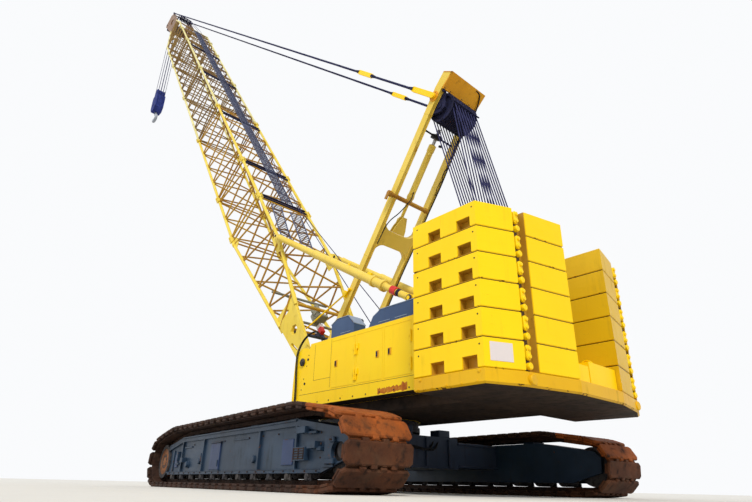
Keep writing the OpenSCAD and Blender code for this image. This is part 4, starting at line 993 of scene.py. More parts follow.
# %% Mast head
BOSS, SHAFT, SHAFT_H, CHEEK = 7.69, 7.5, 0.21, 0.49
cover = join(wall([[7.95, 0.15], [8.4, 0.25], [8.4, 0.29], [7.95, 0.19]], -LEG_OUT, LEG_OUT, 0.004),
             wall([[8.36, -0.06], [8.4, -0.06], [8.4, 0.289], [8.36, 0.28]], -LEG_OUT, LEG_OUT, 0.004),
             boxes([[7.93, -0.68, 0.14, 7.97, 0.68, 0.2]], 0.008))
bosses = both(join(turned([(0, 0.03), (0, 0.148), (0.018, 0.148), (0.022, 0.14), (0.022, 0.03)], 36,
    [[BOSS, LEG_OUT - 0.002, 0]]), bolts(bolt_circle(BOSS, LEG_OUT + 0.019, 0, 0.118, 8), 0.014, 0.012)))
on_mast("mast_head_cover", join(cover, bosses), OCHRE)
cheek_side = np.array([[SHAFT - 0.25, -0.09], [8.35, -0.06], [8.35, 0.24], [7.95, 0.15],
    [SHAFT + 0.18, SHAFT_H + 0.08], [SHAFT + 0.13, SHAFT_H + 0.15], [SHAFT, SHAFT_H + 0.19],
    [SHAFT - 0.13, SHAFT_H + 0.14], [SHAFT - 0.19, SHAFT_H + 0.04], [SHAFT - 0.24, 0.1]])
cheeks = both(wall(cheek_side, CHEEK, LEG_IN, 0.006,
    [ring_of(SHAFT, SHAFT_H, 0.0705, 24), ring_of(8.1, 0.05, 0.07, 20)]))
lug_places = xyz(0, (0.62, 0.4, -0.05, -0.35, -0.6), 0)
bent_lugs = join(*[copies(blocks(lo, hi, 0.006), lug_places) for lo, hi in
                   (([7.86, -0.03, 0.16], [7.98, 0.03, 0.2]), ([7.86, -0.03, 0.19], [7.89, 0.03, 0.27]))])
rope_guard = rods([[SHAFT - 0.3, -0.5, 0.42, SHAFT - 0.3, 0.5, 0.42],
    [SHAFT + 0.2, -0.5, 0.6, SHAFT + 0.2, 0.5, 0.6]], 0.02, 10)
on_mast("mast_head_cheeks", join(cheeks, bent_lugs, rope_guard), GREASE)
pack = join(sheaves_at(SHAFT, SHAFT_H, 0.4, -0.484, 0.484, 8),
    bars([SHAFT, -0.578, SHAFT_H], [SHAFT, 0.578, SHAFT_H], 0.07, 24))
put("mast_sheave_pack", place(pack, MAST), "mast_sheaves", GREASE, True, ["mast_sheaves"])

# %% [markdown]
# ## Ram between the legs
# A small cylinder lies between the legs, its rod towards the sheaves. The rod is polished, so it is a piece
# of its own with a metal finish. Old grease has run down the far leg, in a wavy black patch.

# %% Ram, hoses and grease
RAM_H = -0.1
ram_tube = along_x(lathe([(4.48, 0.04), (4.6, 0.045), (4.95, 0.046), (4.97, 0.088), (5.05, 0.09),
    (5.07, 0.1), (5.15, 0.1), (5.17, 0.088), (6.4, 0.088), (6.42, 0.1), (6.6, 0.1), (6.62, 0.06)], 28))
clevis = boxes([[4.042, -0.05, RAM_H - 0.06, 4.5, 0.05, RAM_H + 0.1],
    [4.042, -0.09, RAM_H - 0.09, 4.07, 0.09, RAM_H + 0.13],
    [4.2, -0.075, RAM_H - 0.07, 4.45, -0.045, RAM_H + 0.07],
    [4.2, 0.045, RAM_H - 0.07, 4.45, 0.075, RAM_H + 0.07]], 0.008)
wedge = join(*[slab([[4.042, -0.22], [4.2, -0.19], [4.52, -0.075], [4.52, 0.075], [4.2, 0.19],
    [4.042, 0.22]], (), z0, z0 + 0.03, 0.004) for z0 in (-0.075, 0.02)])
ports = boxes([[5.2, 0.03, RAM_H + 0.07, 5.28, 0.09, RAM_H + 0.12],
    [6.3, 0.03, RAM_H + 0.07, 6.38, 0.09, RAM_H + 0.12]], 0.006)
on_mast("mast_ram_tube", join(copies(ram_tube, [[0, 0, RAM_H]]), clevis, wedge, ports), MAST_YELLOW, True,
    ["mast_cylinder"])
on_mast("mast_ram_rod", join(bars([6.6, 0, RAM_H], [7.06, 0, RAM_H], 0.045, 24),
    bars([7.0, -0.07, RAM_H], [7.0, 0.07, RAM_H], 0.03, 12)), BRIGHT, True)
clamp = join(boxes([[6.78, -0.12, RAM_H - 0.1, 6.9, 0.12, RAM_H + 0.12],
    [6.62, -0.16, 0.0, 6.68, -0.1, 0.1]], 0.01),
    bars([6.84, -0.56, RAM_H + 0.04], [6.84, 0.56, RAM_H + 0.04], 0.025, 10))
loop = hose(bend([[8.35, -0.2, 0.2], [8.36, -0.32, 0.27], [8.3, -0.5, 0.28], [8.0, -0.62, 0.24],
    [7.7, -0.66, 0.2], [7.4, -0.63, 0.16], [6.9, -0.6, 0.13]], 8), 0.018)
long_hose = hose(bend([[6.9, -0.6, 0.12], [5.8, -0.655, 0.115], [4.7, -0.64, 0.11], [3.9, -0.66, 0.112],
    [3.0, -0.64, 0.11], [2.0, -0.65, 0.11]], 10), 0.016)
ram_hose = hose(bend([[5.24, 0.06, RAM_H + 0.12], [5.0, 0.12, RAM_H + 0.2], [4.6, 0.3, 0.12],
    [4.2, 0.52, 0.11], [3.6, 0.57, 0.1]], 10), 0.014)
on_mast("mast_hoses", join(clamp, loop, long_hose, ram_hose), RUBBER, True)
t = np.linspace(0, 1, 30)
wavy = np.column_stack([7.3 - 1.9 * t, -0.6 + 0.028 * np.sin(t * 31) - 0.012 * np.cos(t * 67)])
grease_run = hose(xyz(wavy[:, 0], wavy[:, 1], 0.093), 0.006 + 0.022 * (1 - t) * (1 + 0.4 * np.sin(t * 23)),
    10)
on_mast("mast_grease_run", grease_run, GREASE, True)


# %% [markdown]
# ## Pendants
# Two wire ropes run from the mast's bosses to the boom's head. Each starts in a yellow link, passes a second
# link a few metres on, and ends between plates at the boom. A rope looks like a screw from nearby: six
# strands lie round a core. So its section is a six-lobed circle that turns as it goes along.


# %% Pendants
STRANDS, GROOVE = 6, 0.22


def wire_rope(p, q, r, turn=0.5, step_=0.08):
    """A rope from p to q: at the angle a its radius is r (1 + 0.22 cos 6a). It twists once in turn metres."""
    p, q = np.asarray(p, float), np.asarray(q, float)
    length = np.linalg.norm(q - p)
    rows = max(int(length / step_), 2)
    t = np.linspace(0, 1, rows)
    along = (q - p) / length
    u = unit(np.cross([0.02, 1.0, 0.03], along))
    w = np.cross(along, u)
    a = turns(2 * STRANDS)
    lobes = r * (1 + GROOVE * np.cos(STRANDS * a))
    twist = a[None] + (t * length / turn * 2 * np.pi)[:, None]
    ring = np.cos(twist)[..., None] * u + np.sin(twist)[..., None] * w
    return skin((p + t[:, None] * (q - p))[:, None] + ring * lobes[None, :, None])


PEND_Y = 0.74
start = MAST @ [BOSS, 0, 0, 1]
stop = leaning(PIN, BOOM_ANGLE) @ [PENDANT_S, 0, 0.45, 1]
PEND_L = float(np.linalg.norm(stop - start))
PENDANT = leaning(start, math.degrees(math.atan2(stop[2] - start[2], stop[0] - start[0])))
rope_runs = [(1.12, 3.15), (4.35, PEND_L - 0.62)]
ropes = both(join(*[wire_rope([a, PEND_Y, 0], [b, PEND_Y, 0], 0.034) for a, b in rope_runs]))
PENDANT_NAVY = rusted("tarred pendant rope", "dark_steel", "0A0B20 15173A 282A58 3A3840", 0.15, 6.0,
    bump=0.003, metallic=0.1)
put("pendant_ropes", place(ropes, PENDANT), "mast", PENDANT_NAVY, True, ["pendants"])


def link(x0, x1, y, w, t):
    """A link of two flat plates with round ends, a pin through each end and a spacer between."""
    side_ = np.concatenate([arc_points(x0, 0, w, 90, 270, 12), arc_points(x1, 0, w, -90, 90, 12)])
    plates_ = join(*[wall(side_, y + s * 0.022 - t / 2, y + s * 0.022 + t / 2, 0.003) for s in (-1, 1)])
    return join(plates_, rods([[x0, y - 0.034, 0, x0, y + 0.034, 0], [x1, y - 0.034, 0, x1, y + 0.034, 0]],
        w * 0.45, 14), blocks([x0 + w * 1.3, y - 0.02, -w * 0.6], [x1 - w * 1.3, y + 0.02, w * 0.6], 0.005))


links = both(join(link(0.0, 0.92, PEND_Y, 0.075, 0.014), link(3.35, 4.15, PEND_Y, 0.07, 0.014)))
put("pendant_links", place(links, PENDANT), "mast", YELLOW)
sockets = both(join(*[turned([(a, r0), (b, r1)], 16, [[0, PEND_Y, 0]], along_x)
    for a, b, r0, r1 in ((0.93, 1.14, 0.058, 0.036), (3.12, 3.34, 0.036, 0.058), (4.16, 4.38, 0.058, 0.036),
    (PEND_L - 0.66, PEND_L - 0.4, 0.034, 0.055))]))
end_link = both(link(PEND_L - 0.42, PEND_L, PEND_Y, 0.058, 0.014))
put("pendant_sockets", place(join(sockets, end_link), PENDANT), "mast", GREASE, True)

# %% [markdown]
# ## Backstops
# Two long spring cylinders keep the boom from falling over backwards. The thick yellow tube carries two
# collars, its thin lower end a red band, and the rod that slides in it is yellow too. All of these are
# turned pieces, so each is one profile of radius against length.

# %% Backstop tubes and rods
STOP_Y = 1.25
STOP_SIDES = [[0, STOP_Y, 0], [0, -STOP_Y, 0]]
tube_profile = [(0.1, 0.06), (0.12, 0.08), (0.92, 0.08), (0.95, 0.088), (1.0, 0.1), (1.005, 0.137),
    (1.095, 0.137), (1.1, 0.112), (1.4, 0.112), (1.405, 0.137), (1.495, 0.137), (1.5, 0.112), (4.2, 0.112),
    (4.21, 0.12), (4.34, 0.12), (4.348, 0.11), (4.348, 0.0965)]
tube_solid = along_x(lathe(tube_profile, 36))
put("backstop_tube_pair", place(copies(tube_solid, STOP_SIDES), STOP), "backstop_tubes", MAST_YELLOW, True,
    ["backstop_tubes"])
fork = join(wall(np.concatenate([arc_points(0, 0, 0.09, 90, 270, 14), [[0.2, -0.075], [0.2, 0.075]]]),
    STOP_Y - 0.06, STOP_Y + 0.06, 0.008, [ring_of(0, 0, 0.0455, 20)]),
    blocks([1.62, STOP_Y - 0.035, 0.1], [1.76, STOP_Y + 0.035, 0.16], 0.008),
    blocks([2.6, STOP_Y - 0.02, 0.1], [2.68, STOP_Y + 0.02, 0.15], 0.005))
put("backstop_forks", place(both(fork), STOP), "backstop_tubes", YELLOW)
band = along_x(lathe([(0.53, 0.081), (0.535, 0.1), (0.72, 0.1), (0.725, 0.081)], 32))
dark_end = along_x(lathe([(0.4, 0.0805), (0.41, 0.088), (0.5, 0.088), (0.51, 0.0805)], 32))
put("backstop_red_bands", place(copies(band, STOP_SIDES), STOP), "backstop_tubes", RED, True)
put("backstop_dark_ends", place(copies(dark_end, STOP_SIDES), STOP), "backstop_tubes", GREASE, True)
L = STOP_LENGTH
rod_solid = along_x(lathe([(2.85, 0.06), (2.86, 0.095), (L - 0.42, 0.095), (L - 0.4, 0.105),
    (L - 0.3, 0.105), (L - 0.27, 0.07), (L - 0.1, 0.06)], 32))
rod_eye = wall(np.concatenate([arc_points(L, 0, 0.085, -90, 90, 14), [[L - 0.2, 0.07], [L - 0.2, -0.07]]]),
    -0.048, 0.048, 0.006, [ring_of(L, 0, 0.036, 18)])
put("backstop_rod_pair", place(copies(join(rod_solid, rod_eye), STOP_SIDES), STOP), "backstop_rods",
    MAST_YELLOW, True, ["backstop_rods"])
eye_pins = both(bars([[EYE_S, 1.06, EYE_TOP]] * 2, [[EYE_S, 1.31, EYE_TOP], [EYE_S, 1.075, EYE_TOP]],
    [0.035, 0.055], 16))
on_boom("backstop_eye_pins", eye_pins, WHEEL_STEEL, True)

# %% [markdown]
# ## Ropes
# The boom hoist rope goes to and fro between the sheaves at the tail and those on the mast, so its parts
# spread like a fan. Two hoist ropes leave the drums and lie over the boom's back up to the head. All are
# tight, so each length is a thin bar.

# %% Rope fan and hoist ropes
TAIL = np.array([-4.7, 0.0, 2.6])
TOP_HALF, TAIL_HALF, FALLS = 0.484, 0.44, 8
top = MAST @ [SHAFT, 0, SHAFT_H, 1]
fan_dir = (top - TAIL) / np.linalg.norm(top - TAIL)
across = np.array([fan_dir[2], 0, -fan_dir[0]])
share = (np.arange(FALLS) + 0.5) * 2 / FALLS
y_top, y_low = (share - 1) * TOP_HALF, (share - 1) * TAIL_HALF
fan = []
for s, r_top, r_low in ((1, 0.375, 0.31), (-1, 0.375, 0.31), (1, -0.3, 0.31)):
    a = TAIL + across * s * r_low + xyz(0, y_low, 0)
    b = top + across * s * r_top + xyz(0, y_top, 0)
    fan.append(bars(a, b, 0.015, 6))
fan_ropes = put("boom_hoist_ropes", join(*fan), None, ROPE, True)
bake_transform(fan_ropes)
guide = BOOM @ [37.75, 0, 0.92, 1]
back_first, back_last = [BOOM @ [a, 0, h, 1] for a, h in ((7.43, 1.18), (33.6, 1.16))]
runs = np.array([[[-1.33, -0.33, 2.78], [0.27, -0.6, 4.58], back_first + [0, -0.6, 0],
    back_last + [0, -0.5, 0], guide + [0, -0.36, 0]],
    [[-0.75, -0.1, 2.9], [0.34, -0.3, 4.16], back_first + [0, -0.52, 0], back_last + [0, -0.2, 0],
    guide + [0, -0.12, 0]]])
lines = bars(runs[:, :-1].reshape(-1, 3), runs[:, 1:].reshape(-1, 3), 0.013, 6)
put("hoist_ropes", lines, "boom", ROPE, True)
short_strut = join(rods([[2.2, 0.7, -0.02, 0.62, 0.86, -0.98]], 0.022, 10),
    boxes([[1.95, 0.66, -0.17, 2.12, 0.76, -0.05]], 0.01),
    rods([[2.2, 0.66, -0.02, 2.2, 0.76, -0.02]], 0.04, 12))
on_mast("mast_short_strut", short_strut, YELLOW, True)


# %% [markdown]
# ## Crawler tracks
# A track is a closed chain of cast shoes. The chain's line is two arcs joined by straight runs, and a shoe
# sits on each of its 58 equal steps, so one shoe is modelled and then laid at 58 places by matrices. A curve
# modifier could bend a straight track round the line, but it would also bend the stiff shoes.

# %% Chain line
END_X, END_Z, END_R, SHOES, SHOE_W, TRACK_Y = 4.075, 0.6, 0.49, 58, 1.22, 3.19
chain = np.concatenate([arc_points(END_X, END_Z, END_R, -90, 81, 15), [[3.05, 1.26], [-3.05, 1.26]],
    arc_points(-END_X, END_Z, END_R, 99, 270, 15)])
chain = np.concatenate([chain, chain[:1]])
run = np.concatenate([[0], np.cumsum(np.linalg.norm(np.diff(chain, axis=0), axis=1))])
PITCH = run[-1] / SHOES
marks = np.arange(SHOES + 1) * PITCH
joints = np.column_stack([np.interp(marks, run, chain[:, i]) for i in (0, 1)])
mid, along = (joints[1:] + joints[:-1]) / 2, unit(joints[1:] - joints[:-1])
seats = np.zeros((SHOES, 3, 4))
seats[:, 0, 0], seats[:, 2, 0] = along[:, 0], along[:, 1]
seats[:, 1, 1] = 1
seats[:, 0, 2], seats[:, 2, 2] = along[:, 1], -along[:, 0]
seats[:, 0, 3], seats[:, 2, 3] = mid[:, 0], mid[:, 1]
print("one shoe every", round(float(PITCH), 4), "m")

# %% [markdown]
# A shoe is a thick pad with cut corners, four hinge lugs that reach between those of the next shoe, two
# rails for the wheels on its inner side and four bolts. The rear shoes have rusted orange above and brown
# below, while the others are dark and worn, so the same shape is put down with three finishes.

# %% Shoes
half, w, c = PITCH / 2 - 0.005, SHOE_W / 2, 0.06
pad = slab([[-half, -w + c], [-half + c * 0.8, -w], [half - c * 0.8, -w], [half, -w + c], [half, w - c],
    [half - c * 0.8, w], [-half + c * 0.8, w], [-half, w - c]], (), 0.035, 0.108, 0.02)
lug_y = np.array([-0.27, -0.09, 0.09, 0.27])
reach = np.array([1, -1, 1, -1])
hinge_lugs = blocks(xyz(reach * (half + 0.005) - 0.035, lug_y - 0.055, 0.02),
    xyz(reach * (half + 0.005) + 0.04, lug_y + 0.055, 0.104), 0.012)
mates = blocks(xyz(-reach * (half - 0.01) - 0.02, lug_y - 0.04, 0.02),
    xyz(-reach * (half - 0.01) + 0.02, lug_y + 0.04, 0.1), 0.01)
rails = boxes([[-half - 0.01, -0.2, -0.085, half + 0.01, -0.12, 0.04],
    [-half - 0.01, 0.12, -0.085, half + 0.01, 0.2, 0.04], [-0.06, -0.045, -0.06, 0.06, 0.045, 0.04],
    [-half, -0.5, 0.01, half, -0.46, 0.04], [-half, 0.46, 0.01, half, 0.5, 0.04]], 0.01)
heads = turned([(0.106, 0.018), (0.11, 0.018), (0.11, 0.014)], 8,
    [[x, y, 0] for x in (-0.075, 0.075) for y in (-0.46, 0.46)], along_z)
edge_bars = boxes([[-half + 0.07, -w, 0.0, half - 0.07, -w + 0.05, 0.04],
    [-half + 0.07, w - 0.05, 0.0, half - 0.07, w, 0.04],
    [-half - 0.025, -w + 0.1, -0.005, half + 0.025, w - 0.1, 0.04]], 0.008)
shoe = join(pad, hinge_lugs, mates, rails, heads, edge_bars)
REAR_X, LOW_Z = -3.35, 0.72
rear, low = mid[:, 0] < REAR_X, mid[:, 1] < LOW_Z
for name, y in (("left", TRACK_Y), ("right", -TRACK_Y)):
    for part, pick, paint in (("rear", rear & ~low, SHOE_RUST), ("low", rear & low, SHOE_BROWN),
            ("long", ~rear, SHOE_DARK)):
        whole = copies(copies(shoe, seats[pick]), [[0, y, 0]])
        on_lower(f"track_shoes_{part}_{name}", whole, paint, False,
            [f"track_{name}"] if part == "long" else ())

# %% [markdown]
# ## Side frames
# The frame's outer face has panels between ribs, and the construction solid already has those. What is
# added is bolted on: navy patches of another paint, a small grille, round covers, brackets with their bolts,
# a lip along the lower flange and the rollers' bolt heads. The drive wheel gets teeth, a bolted hub and rust.

# %% Frame fittings
FACE, PANEL = 3.55, 3.505
BLUE_PATCH = painted("blue frame patch", "navy_paint", "24324E 31426A 3A3A34 5A3A26", 0.8, 0.7, 0.6,
    gloss=0.03)
patches = boxes([[0.46, PANEL - 0.01, 0.37, 0.97, PANEL + 0.028, 0.9],
    [-2.67, PANEL - 0.01, 0.41, -2.29, PANEL + 0.018, 0.82],
    [3.1, PANEL - 0.01, 0.44, 3.3, PANEL + 0.02, 0.74]], 0.008)
on_lower("frame_blue_covers", both(patches), BLUE_PATCH)
round_covers = turned([(0, 0.01), (0, 0.085), (0.02, 0.085), (0.025, 0.07), (0.06, 0.066), (0.075, 0.05),
    (0.075, 0.01)], 24, [[1.55, PANEL, 0.56], [-1.25, PANEL, 0.53], [2.35, PANEL, 0.5]])
arms = boxes([[1.45, PANEL, 0.55, 1.52, PANEL + 0.06, 0.72], [-1.2, PANEL, 0.5, -1.08, PANEL + 0.05, 0.56],
    [3.0, PANEL, 0.58, 3.06, PANEL + 0.07, 0.8], [2.95, PANEL, 0.5, 3.16, PANEL + 0.05, 0.55],
    [-3.45, PANEL, 0.86, -3.2, PANEL + 0.06, 0.9], [-3.62, PANEL, 0.6, -3.5, PANEL + 0.07, 0.66]], 0.008)
strips = boxes([[0.42, PANEL, 0.345, 1.0, PANEL + 0.035, 0.37],
    [0.42, PANEL, 0.9, 1.0, PANEL + 0.05, 0.925], [0.5, PANEL, 0.44, 0.54, PANEL + 0.045, 0.56],
    [-0.9, PANEL, 0.9, -0.2, PANEL + 0.02, 0.93], [-1.37, PANEL, 0.36, -1.3, PANEL + 0.03, 0.98],
    [2.2, PANEL, 0.86, 2.7, PANEL + 0.02, 0.9], [-3.98, FACE - 0.002, 0.36, -3.7, FACE + 0.02, 0.4],
    [3.4, PANEL, 0.36, 3.44, PANEL + 0.03, 0.84]], 0.005)
lip = boxes([[-3.6, FACE - 0.004, 0.282, 3.6, FACE + 0.03, 0.3],
    [-3.6, FACE - 0.004, 0.335, 3.6, FACE + 0.008, 0.345],
    [-2.8, FACE - 0.004, 1.085, 2.8, FACE + 0.025, 1.118]], 0.004)
pad_blocks = boxes([[-4.02, FACE - 0.002, 0.7, -3.9, FACE + 0.05, 0.78],
    [-4.02, FACE - 0.002, 0.4, -3.78, FACE + 0.05, 0.48]], 0.012)
on_lower("frame_fittings", both(join(round_covers, arms, strips, lip, pad_blocks)), FRAME_GREY)
grille = join(copies(blocks([-3.15, 3.59, 0], [-2.83, 3.603, 0.014], 0.002),
    xyz(0, 0, np.linspace(0.49, 0.64, 5))), copies(blocks([0, 3.588, 0.485], [0.014, 3.606, 0.66], 0.002),
    xyz((-3.16, -3.0, -2.84), 0, 0)))
frame_bolts = bolts(np.array([[x, FACE - 0.002, 0.315] for x in np.arange(-3.5, 3.6, 0.35)] +
    [[x, PANEL - 0.001, 0.92] for x in np.arange(-2.7, 2.8, 0.6)] +
    [[-3.96 + a, FACE + 0.046, 0.74] for a in (0, 0.04)] +
    [[-3.6, FACE - 0.002, z] for z in (0.5, 0.7, 0.86)]), 0.016, 0.014)
roller_x = -3.25 + np.arange(11) * 0.65
roller_ends = join(turned([(0, 0.01), (0, 0.06), (0.03, 0.06), (0.04, 0.045), (0.04, 0.01)], 14,
    [[x, FACE - 0.01, 0.235] for x in roller_x]),
    copies(blocks([-0.09, FACE - 0.05, 0.17], [0.09, FACE, 0.285], 0.01), xyz(roller_x, 0, 0)),
    bolts([[x + a, FACE, 0.2] for x in roller_x for a in (-0.065, 0.065)], 0.018, 0.016))
on_lower("frame_grilles_and_bolts", both(join(grille, frame_bolts)), SHOE_DARK)
on_lower("roller_ends", both(roller_ends), WHEEL_STEEL)
TEETH, SPOKES, HUB_BOLTS = 15, 6, 10


def on_wheel(n, y):
    """n matrices that turn a shape round the drive wheel's axle in equal steps, at the distance y."""
    return [[[math.cos(t), 0, math.sin(t), END_X], [0, 1, 0, y], [-math.sin(t), 0, math.cos(t), END_Z]]
            for t in turns(n)]


teeth = copies(boxes([[0.36, 0.0, -0.045, 0.398, 0.3, 0.045]], 0.012), on_wheel(TEETH, TRACK_Y))
spoke = slab([[0.15, -0.05], [0.33, -0.035], [0.33, 0.035], [0.15, 0.05]], (), 0, 0.03, 0.006)
wheel_face = join(turned([(0, 0.30), (0, 0.385), (0.055, 0.385), (0.06, 0.375), (0.06, 0.315),
    (0.05, 0.305)], 40, [[END_X, TRACK_Y + 0.3, END_Z]]),
    turned([(0, 0.02), (0, 0.18), (0.05, 0.18), (0.062, 0.165), (0.062, 0.11), (0.075, 0.1), (0.08, 0.02)],
    32, [[END_X, TRACK_Y + 0.28, END_Z]]), bolts(bolt_circle(END_X, TRACK_Y + 0.34, END_Z, 0.14, HUB_BOLTS),
    0.016, 0.014), copies(standing(spoke), on_wheel(SPOKES, TRACK_Y + 0.29)))
WHEEL_RUST = rusted("rusted wheel steel", "track_steel", "2E1C14 5E3A26 8A5A3A 7A6A58", 0.4, 1.5,
    bump=0.008, metallic=0.1)
on_lower("drive_wheel_faces", both(join(teeth, wheel_face)), WHEEL_RUST, True)

# %% [markdown]
# The carbody between the tracks is almost black. It gets its weld-on ribs, the bolts of the slew ring and a
# few boxes and hoses on top, which show against the sky between the tracks and the deck.

# %% Carbody fittings
ribs = copies(blocks([-0.03, -0.03, 0.56], [0.03, 0.03, 1.16], 0.006),
              [[x, y, 0] for x in (-1.53, 1.53) for y in (-1.2, -0.5, 0.5, 1.2)])
arm_caps = copies(blocks([-0.36, 0, 0], [0.36, 1.33, 0.045], 0.006),
                  [[x, y, z] for x in (-1.18, 1.18) for y in (-2.83, 1.5) for z in (0.56, 1.06)])
top_boxes = boxes([[-1.46, -1.3, 1.2, -1.15, -0.95, 1.36], [-1.44, 0.3, 1.2, -1.3, 0.62, 1.3],
    [-1.4, -0.2, 1.2, -1.3, -0.02, 1.42], [-1.5, 1.1, 1.2, -1.3, 1.35, 1.29]], 0.012)
on_lower("carbody_fittings", join(ribs, arm_caps, top_boxes), NAVY)
t = turns(48)
ring_bolts = turned([(0, 0.02), (0.022, 0.02), (0.026, 0.015)], 6,
    xyz(1.19 * np.cos(t), 1.19 * np.sin(t), 1.2), along_z)
ring_shape = along_z(lathe([(1.205, 0.95), (1.205, 1.235), (1.26, 1.235), (1.265, 1.16), (1.3, 1.15),
    (1.3, 1.235), (1.42, 1.235), (1.425, 1.2), (1.5, 1.2), (1.545, 1.19), (1.545, 0.95)], 96))
on_lower("slew_ring_race", join(ring_bolts, ring_shape), WHEEL_STEEL, True, ["slew_ring"])
body_hoses = join(*[hose(bend([[-1.45, y, 1.2], [-1.5, y + 0.05, 1.05], [-1.6, y + 0.3, 0.9],
    [-1.58, y + 0.8, 0.95], [-1.55, y + 1.2, 1.0]], 10), 0.022) for y in (-0.9, -0.75, 0.3)])
on_lower("carbody_hoses", body_hoses, RUBBER, True)


# %% [markdown]
# ## Counterweights
# Each stack is six cast slabs with forklift pockets at their lower edge. One slab is built from two layers:
# the lower one has the pockets as notches in its outline and the upper one closes them, so no boolean is
# needed. The slabs' edges are cut back, and a thin dark plate inside each gap makes the seam, dirt and
# painted shade together.

# %% Slabs
TRAY_Z, TRAY_TOP, SLAB_T, SLABS = 1.53, 1.763, 0.47, 6
SIDE_Y, GROOVE_X = 2.568, -5.65
POCKET_DUST_AND_SHADE = painted("dust and painted shade in pockets", "yellow_paint", "CE9A2C BA8822 4A2E0C 3C2410", 0.9, 0.6, 0.5)
SEAM_DIRT_AND_SHADE = painted("dirt and painted shade in the seams", "trim", "4E3408 3A2606 201606 2A1808", 0.9, 0.6, 0.4)
plain = np.array([[-4.011, 0.74], [-4.011, SIDE_Y], [-5.452, SIDE_Y], [-5.728, 1.901], [GROOVE_X, 1.901],
    [GROOVE_X, 1.615], [-5.79, 1.615], [-5.979, 0.74]])
notches = np.array([[-4.385, SIDE_Y], [-4.385, 2.408], [-4.675, 2.408], [-4.675, SIDE_Y], [-5.04, SIDE_Y],
    [-5.04, 2.408], [-5.33, 2.408], [-5.33, SIDE_Y]])
pocketed = np.concatenate([plain[:2], notches, plain[2:]])
GAP, LIP = 0.008, 0.205
one = join(slab(pocketed, (), GAP, LIP, 0.0006, 0.012), slab(plain, (), LIP, SLAB_T - GAP, 0.012, 0.0006))
levels = TRAY_TOP + np.arange(SLABS) * SLAB_T
stack = copies(one, xyz(0, 0, levels))
on_upper("weight_slabs_left", stack, YELLOW, False, ["weights_left"])
# The right stack gets a duller copy of the slab paint: painted shade for the shadow the left stack casts on
# it.
PAINTED_SHADE_YELLOW = painted("slab paint in painted shade", "yellow_paint", "D8AC10 E2B81A 7A5A1C 6E3A14", 0.7, 0.5, 0.25)
on_upper("weight_slabs_right", mirror(stack), PAINTED_SHADE_YELLOW, False, ["weights_right"])
# Thin dark plates inside the gaps are dirt and painted shade that make the seams.
core = slab(inset(plain, 0.014), (), 0, 0.03, 0.001)
on_upper("weight_seams", both(copies(core, xyz(0, 0, levels[1:] - 0.015))), SEAM_DIRT_AND_SHADE)
pocket_x = ((-4.675, -4.385), (-5.33, -5.04))
# The pockets are lined in dusty paint that is darkened further as painted shade.
lining = join(*[boxes([[x0, 2.409, 0.012, x1, 2.414, LIP - 0.002], [x0, 2.41, LIP - 0.004, x1, 2.555, LIP],
    [x0, 2.41, 0.004, x1, 2.56, 0.012], [x0, 2.409, 0.01, x0 + 0.004, 2.545, LIP - 0.004],
    [x1 - 0.004, 2.409, 0.01, x1, 2.545, LIP - 0.004]], 0.0008) for x0, x1 in pocket_x])
on_upper("weight_pocket_dust_and_shade", both(copies(lining, xyz(0, 0, levels))), POCKET_DUST_AND_SHADE)
# Flat dark discs paint the shade inside small holes in the slab faces.
holes_at = np.array([[x, 2.5675, z] for x in (-4.12, -5.38) for z in levels + 0.36])
on_upper("weight_small_holes", both(turned([(0, 0.016), (0.0009, 0.016), (0.0009, 0.003)], 12, holes_at)),
    SEAM_DIRT_AND_SHADE)

# %% [markdown]
# A tie of links and pins runs down a groove in the stack's rear face and holds the slabs together. The
# groove is lined in a darker paint, and a dark strip lies behind the links: both are painted shade. A blank
# notice plate of dusty white sits on the lowest slab.

# %% Ties and notice plate
STACK_H, TIE_X, TIE_Y = SLABS * SLAB_T, -5.7, 1.81
# The groove's walls are lined in the darker lacing paint as painted shade.
groove = boxes([[-5.658, 1.62, 0.01, -5.6505, 1.896, STACK_H - 0.01],
    [-5.775, 1.6155, 0.01, -5.66, 1.622, STACK_H - 0.01]], 0.002)
on_upper("weight_groove_painted_shade", both(copies(groove, [[0, 0, TRAY_TOP]])), LACING)
# A dark strip behind the links paints the shade deep in the groove.
strip = boxes([[-5.7, 1.755, 0.0, GROOVE_X, 1.865, STACK_H - 0.07]], 0.01)
link_plan = np.concatenate([arc_points(0, 0.065, 0.058, 0, 180, 12),
    arc_points(0, -0.065, 0.058, 180, 360, 12)])
shape, faces = slab(link_plan, (), 0, 0.045, 0.008)
rear_link = (xyz(-shape[:, 2], shape[:, 0], shape[:, 1]), [(f[:, ::-1], m) for f, m in faces])
pin_disc = along_x(lathe([(-0.07, 0.005), (-0.07, 0.032), (-0.05, 0.042), (-0.03, 0.042)], 16))
on_upper("weight_tie_shade_strips", both(copies(strip, [[0, 0, TRAY_TOP + 0.01]])), SEAM_DIRT_AND_SHADE)
tie_parts = join(turned([(-0.07, 0.01), (-0.07, 0.045), (-0.06, 0.056), (0.0, 0.056)], 20,
    xyz(TIE_X, TIE_Y, levels + 0.085), along_x), copies(rear_link, xyz(TIE_X, TIE_Y, levels + 0.3)),
    copies(pin_disc, [[TIE_X, TIE_Y, z + 0.3 + s * 0.065] for z in levels for s in (-1, 1)]))
on_upper("weight_ties", both(tie_parts), HOUSE_YELLOW, True)
a, b = np.array([-5.452, SIDE_Y]), np.array([-5.728, 1.901])
d = unit(b - a)
n = np.array([d[1], -d[0]])
turned_plate = np.array([[d[0], n[0], 0, a[0]], [d[1], n[1], 0, a[1]], [0, 0, 1, TRAY_TOP]])
notice = wall([[0.11, 0.11], [0.51, 0.11], [0.51, 0.4], [0.11, 0.4]], 0, 0.006, 0.0015)
on_upper("blank_notice_plate", place(notice, turned_plate), PLATE_WHITE)
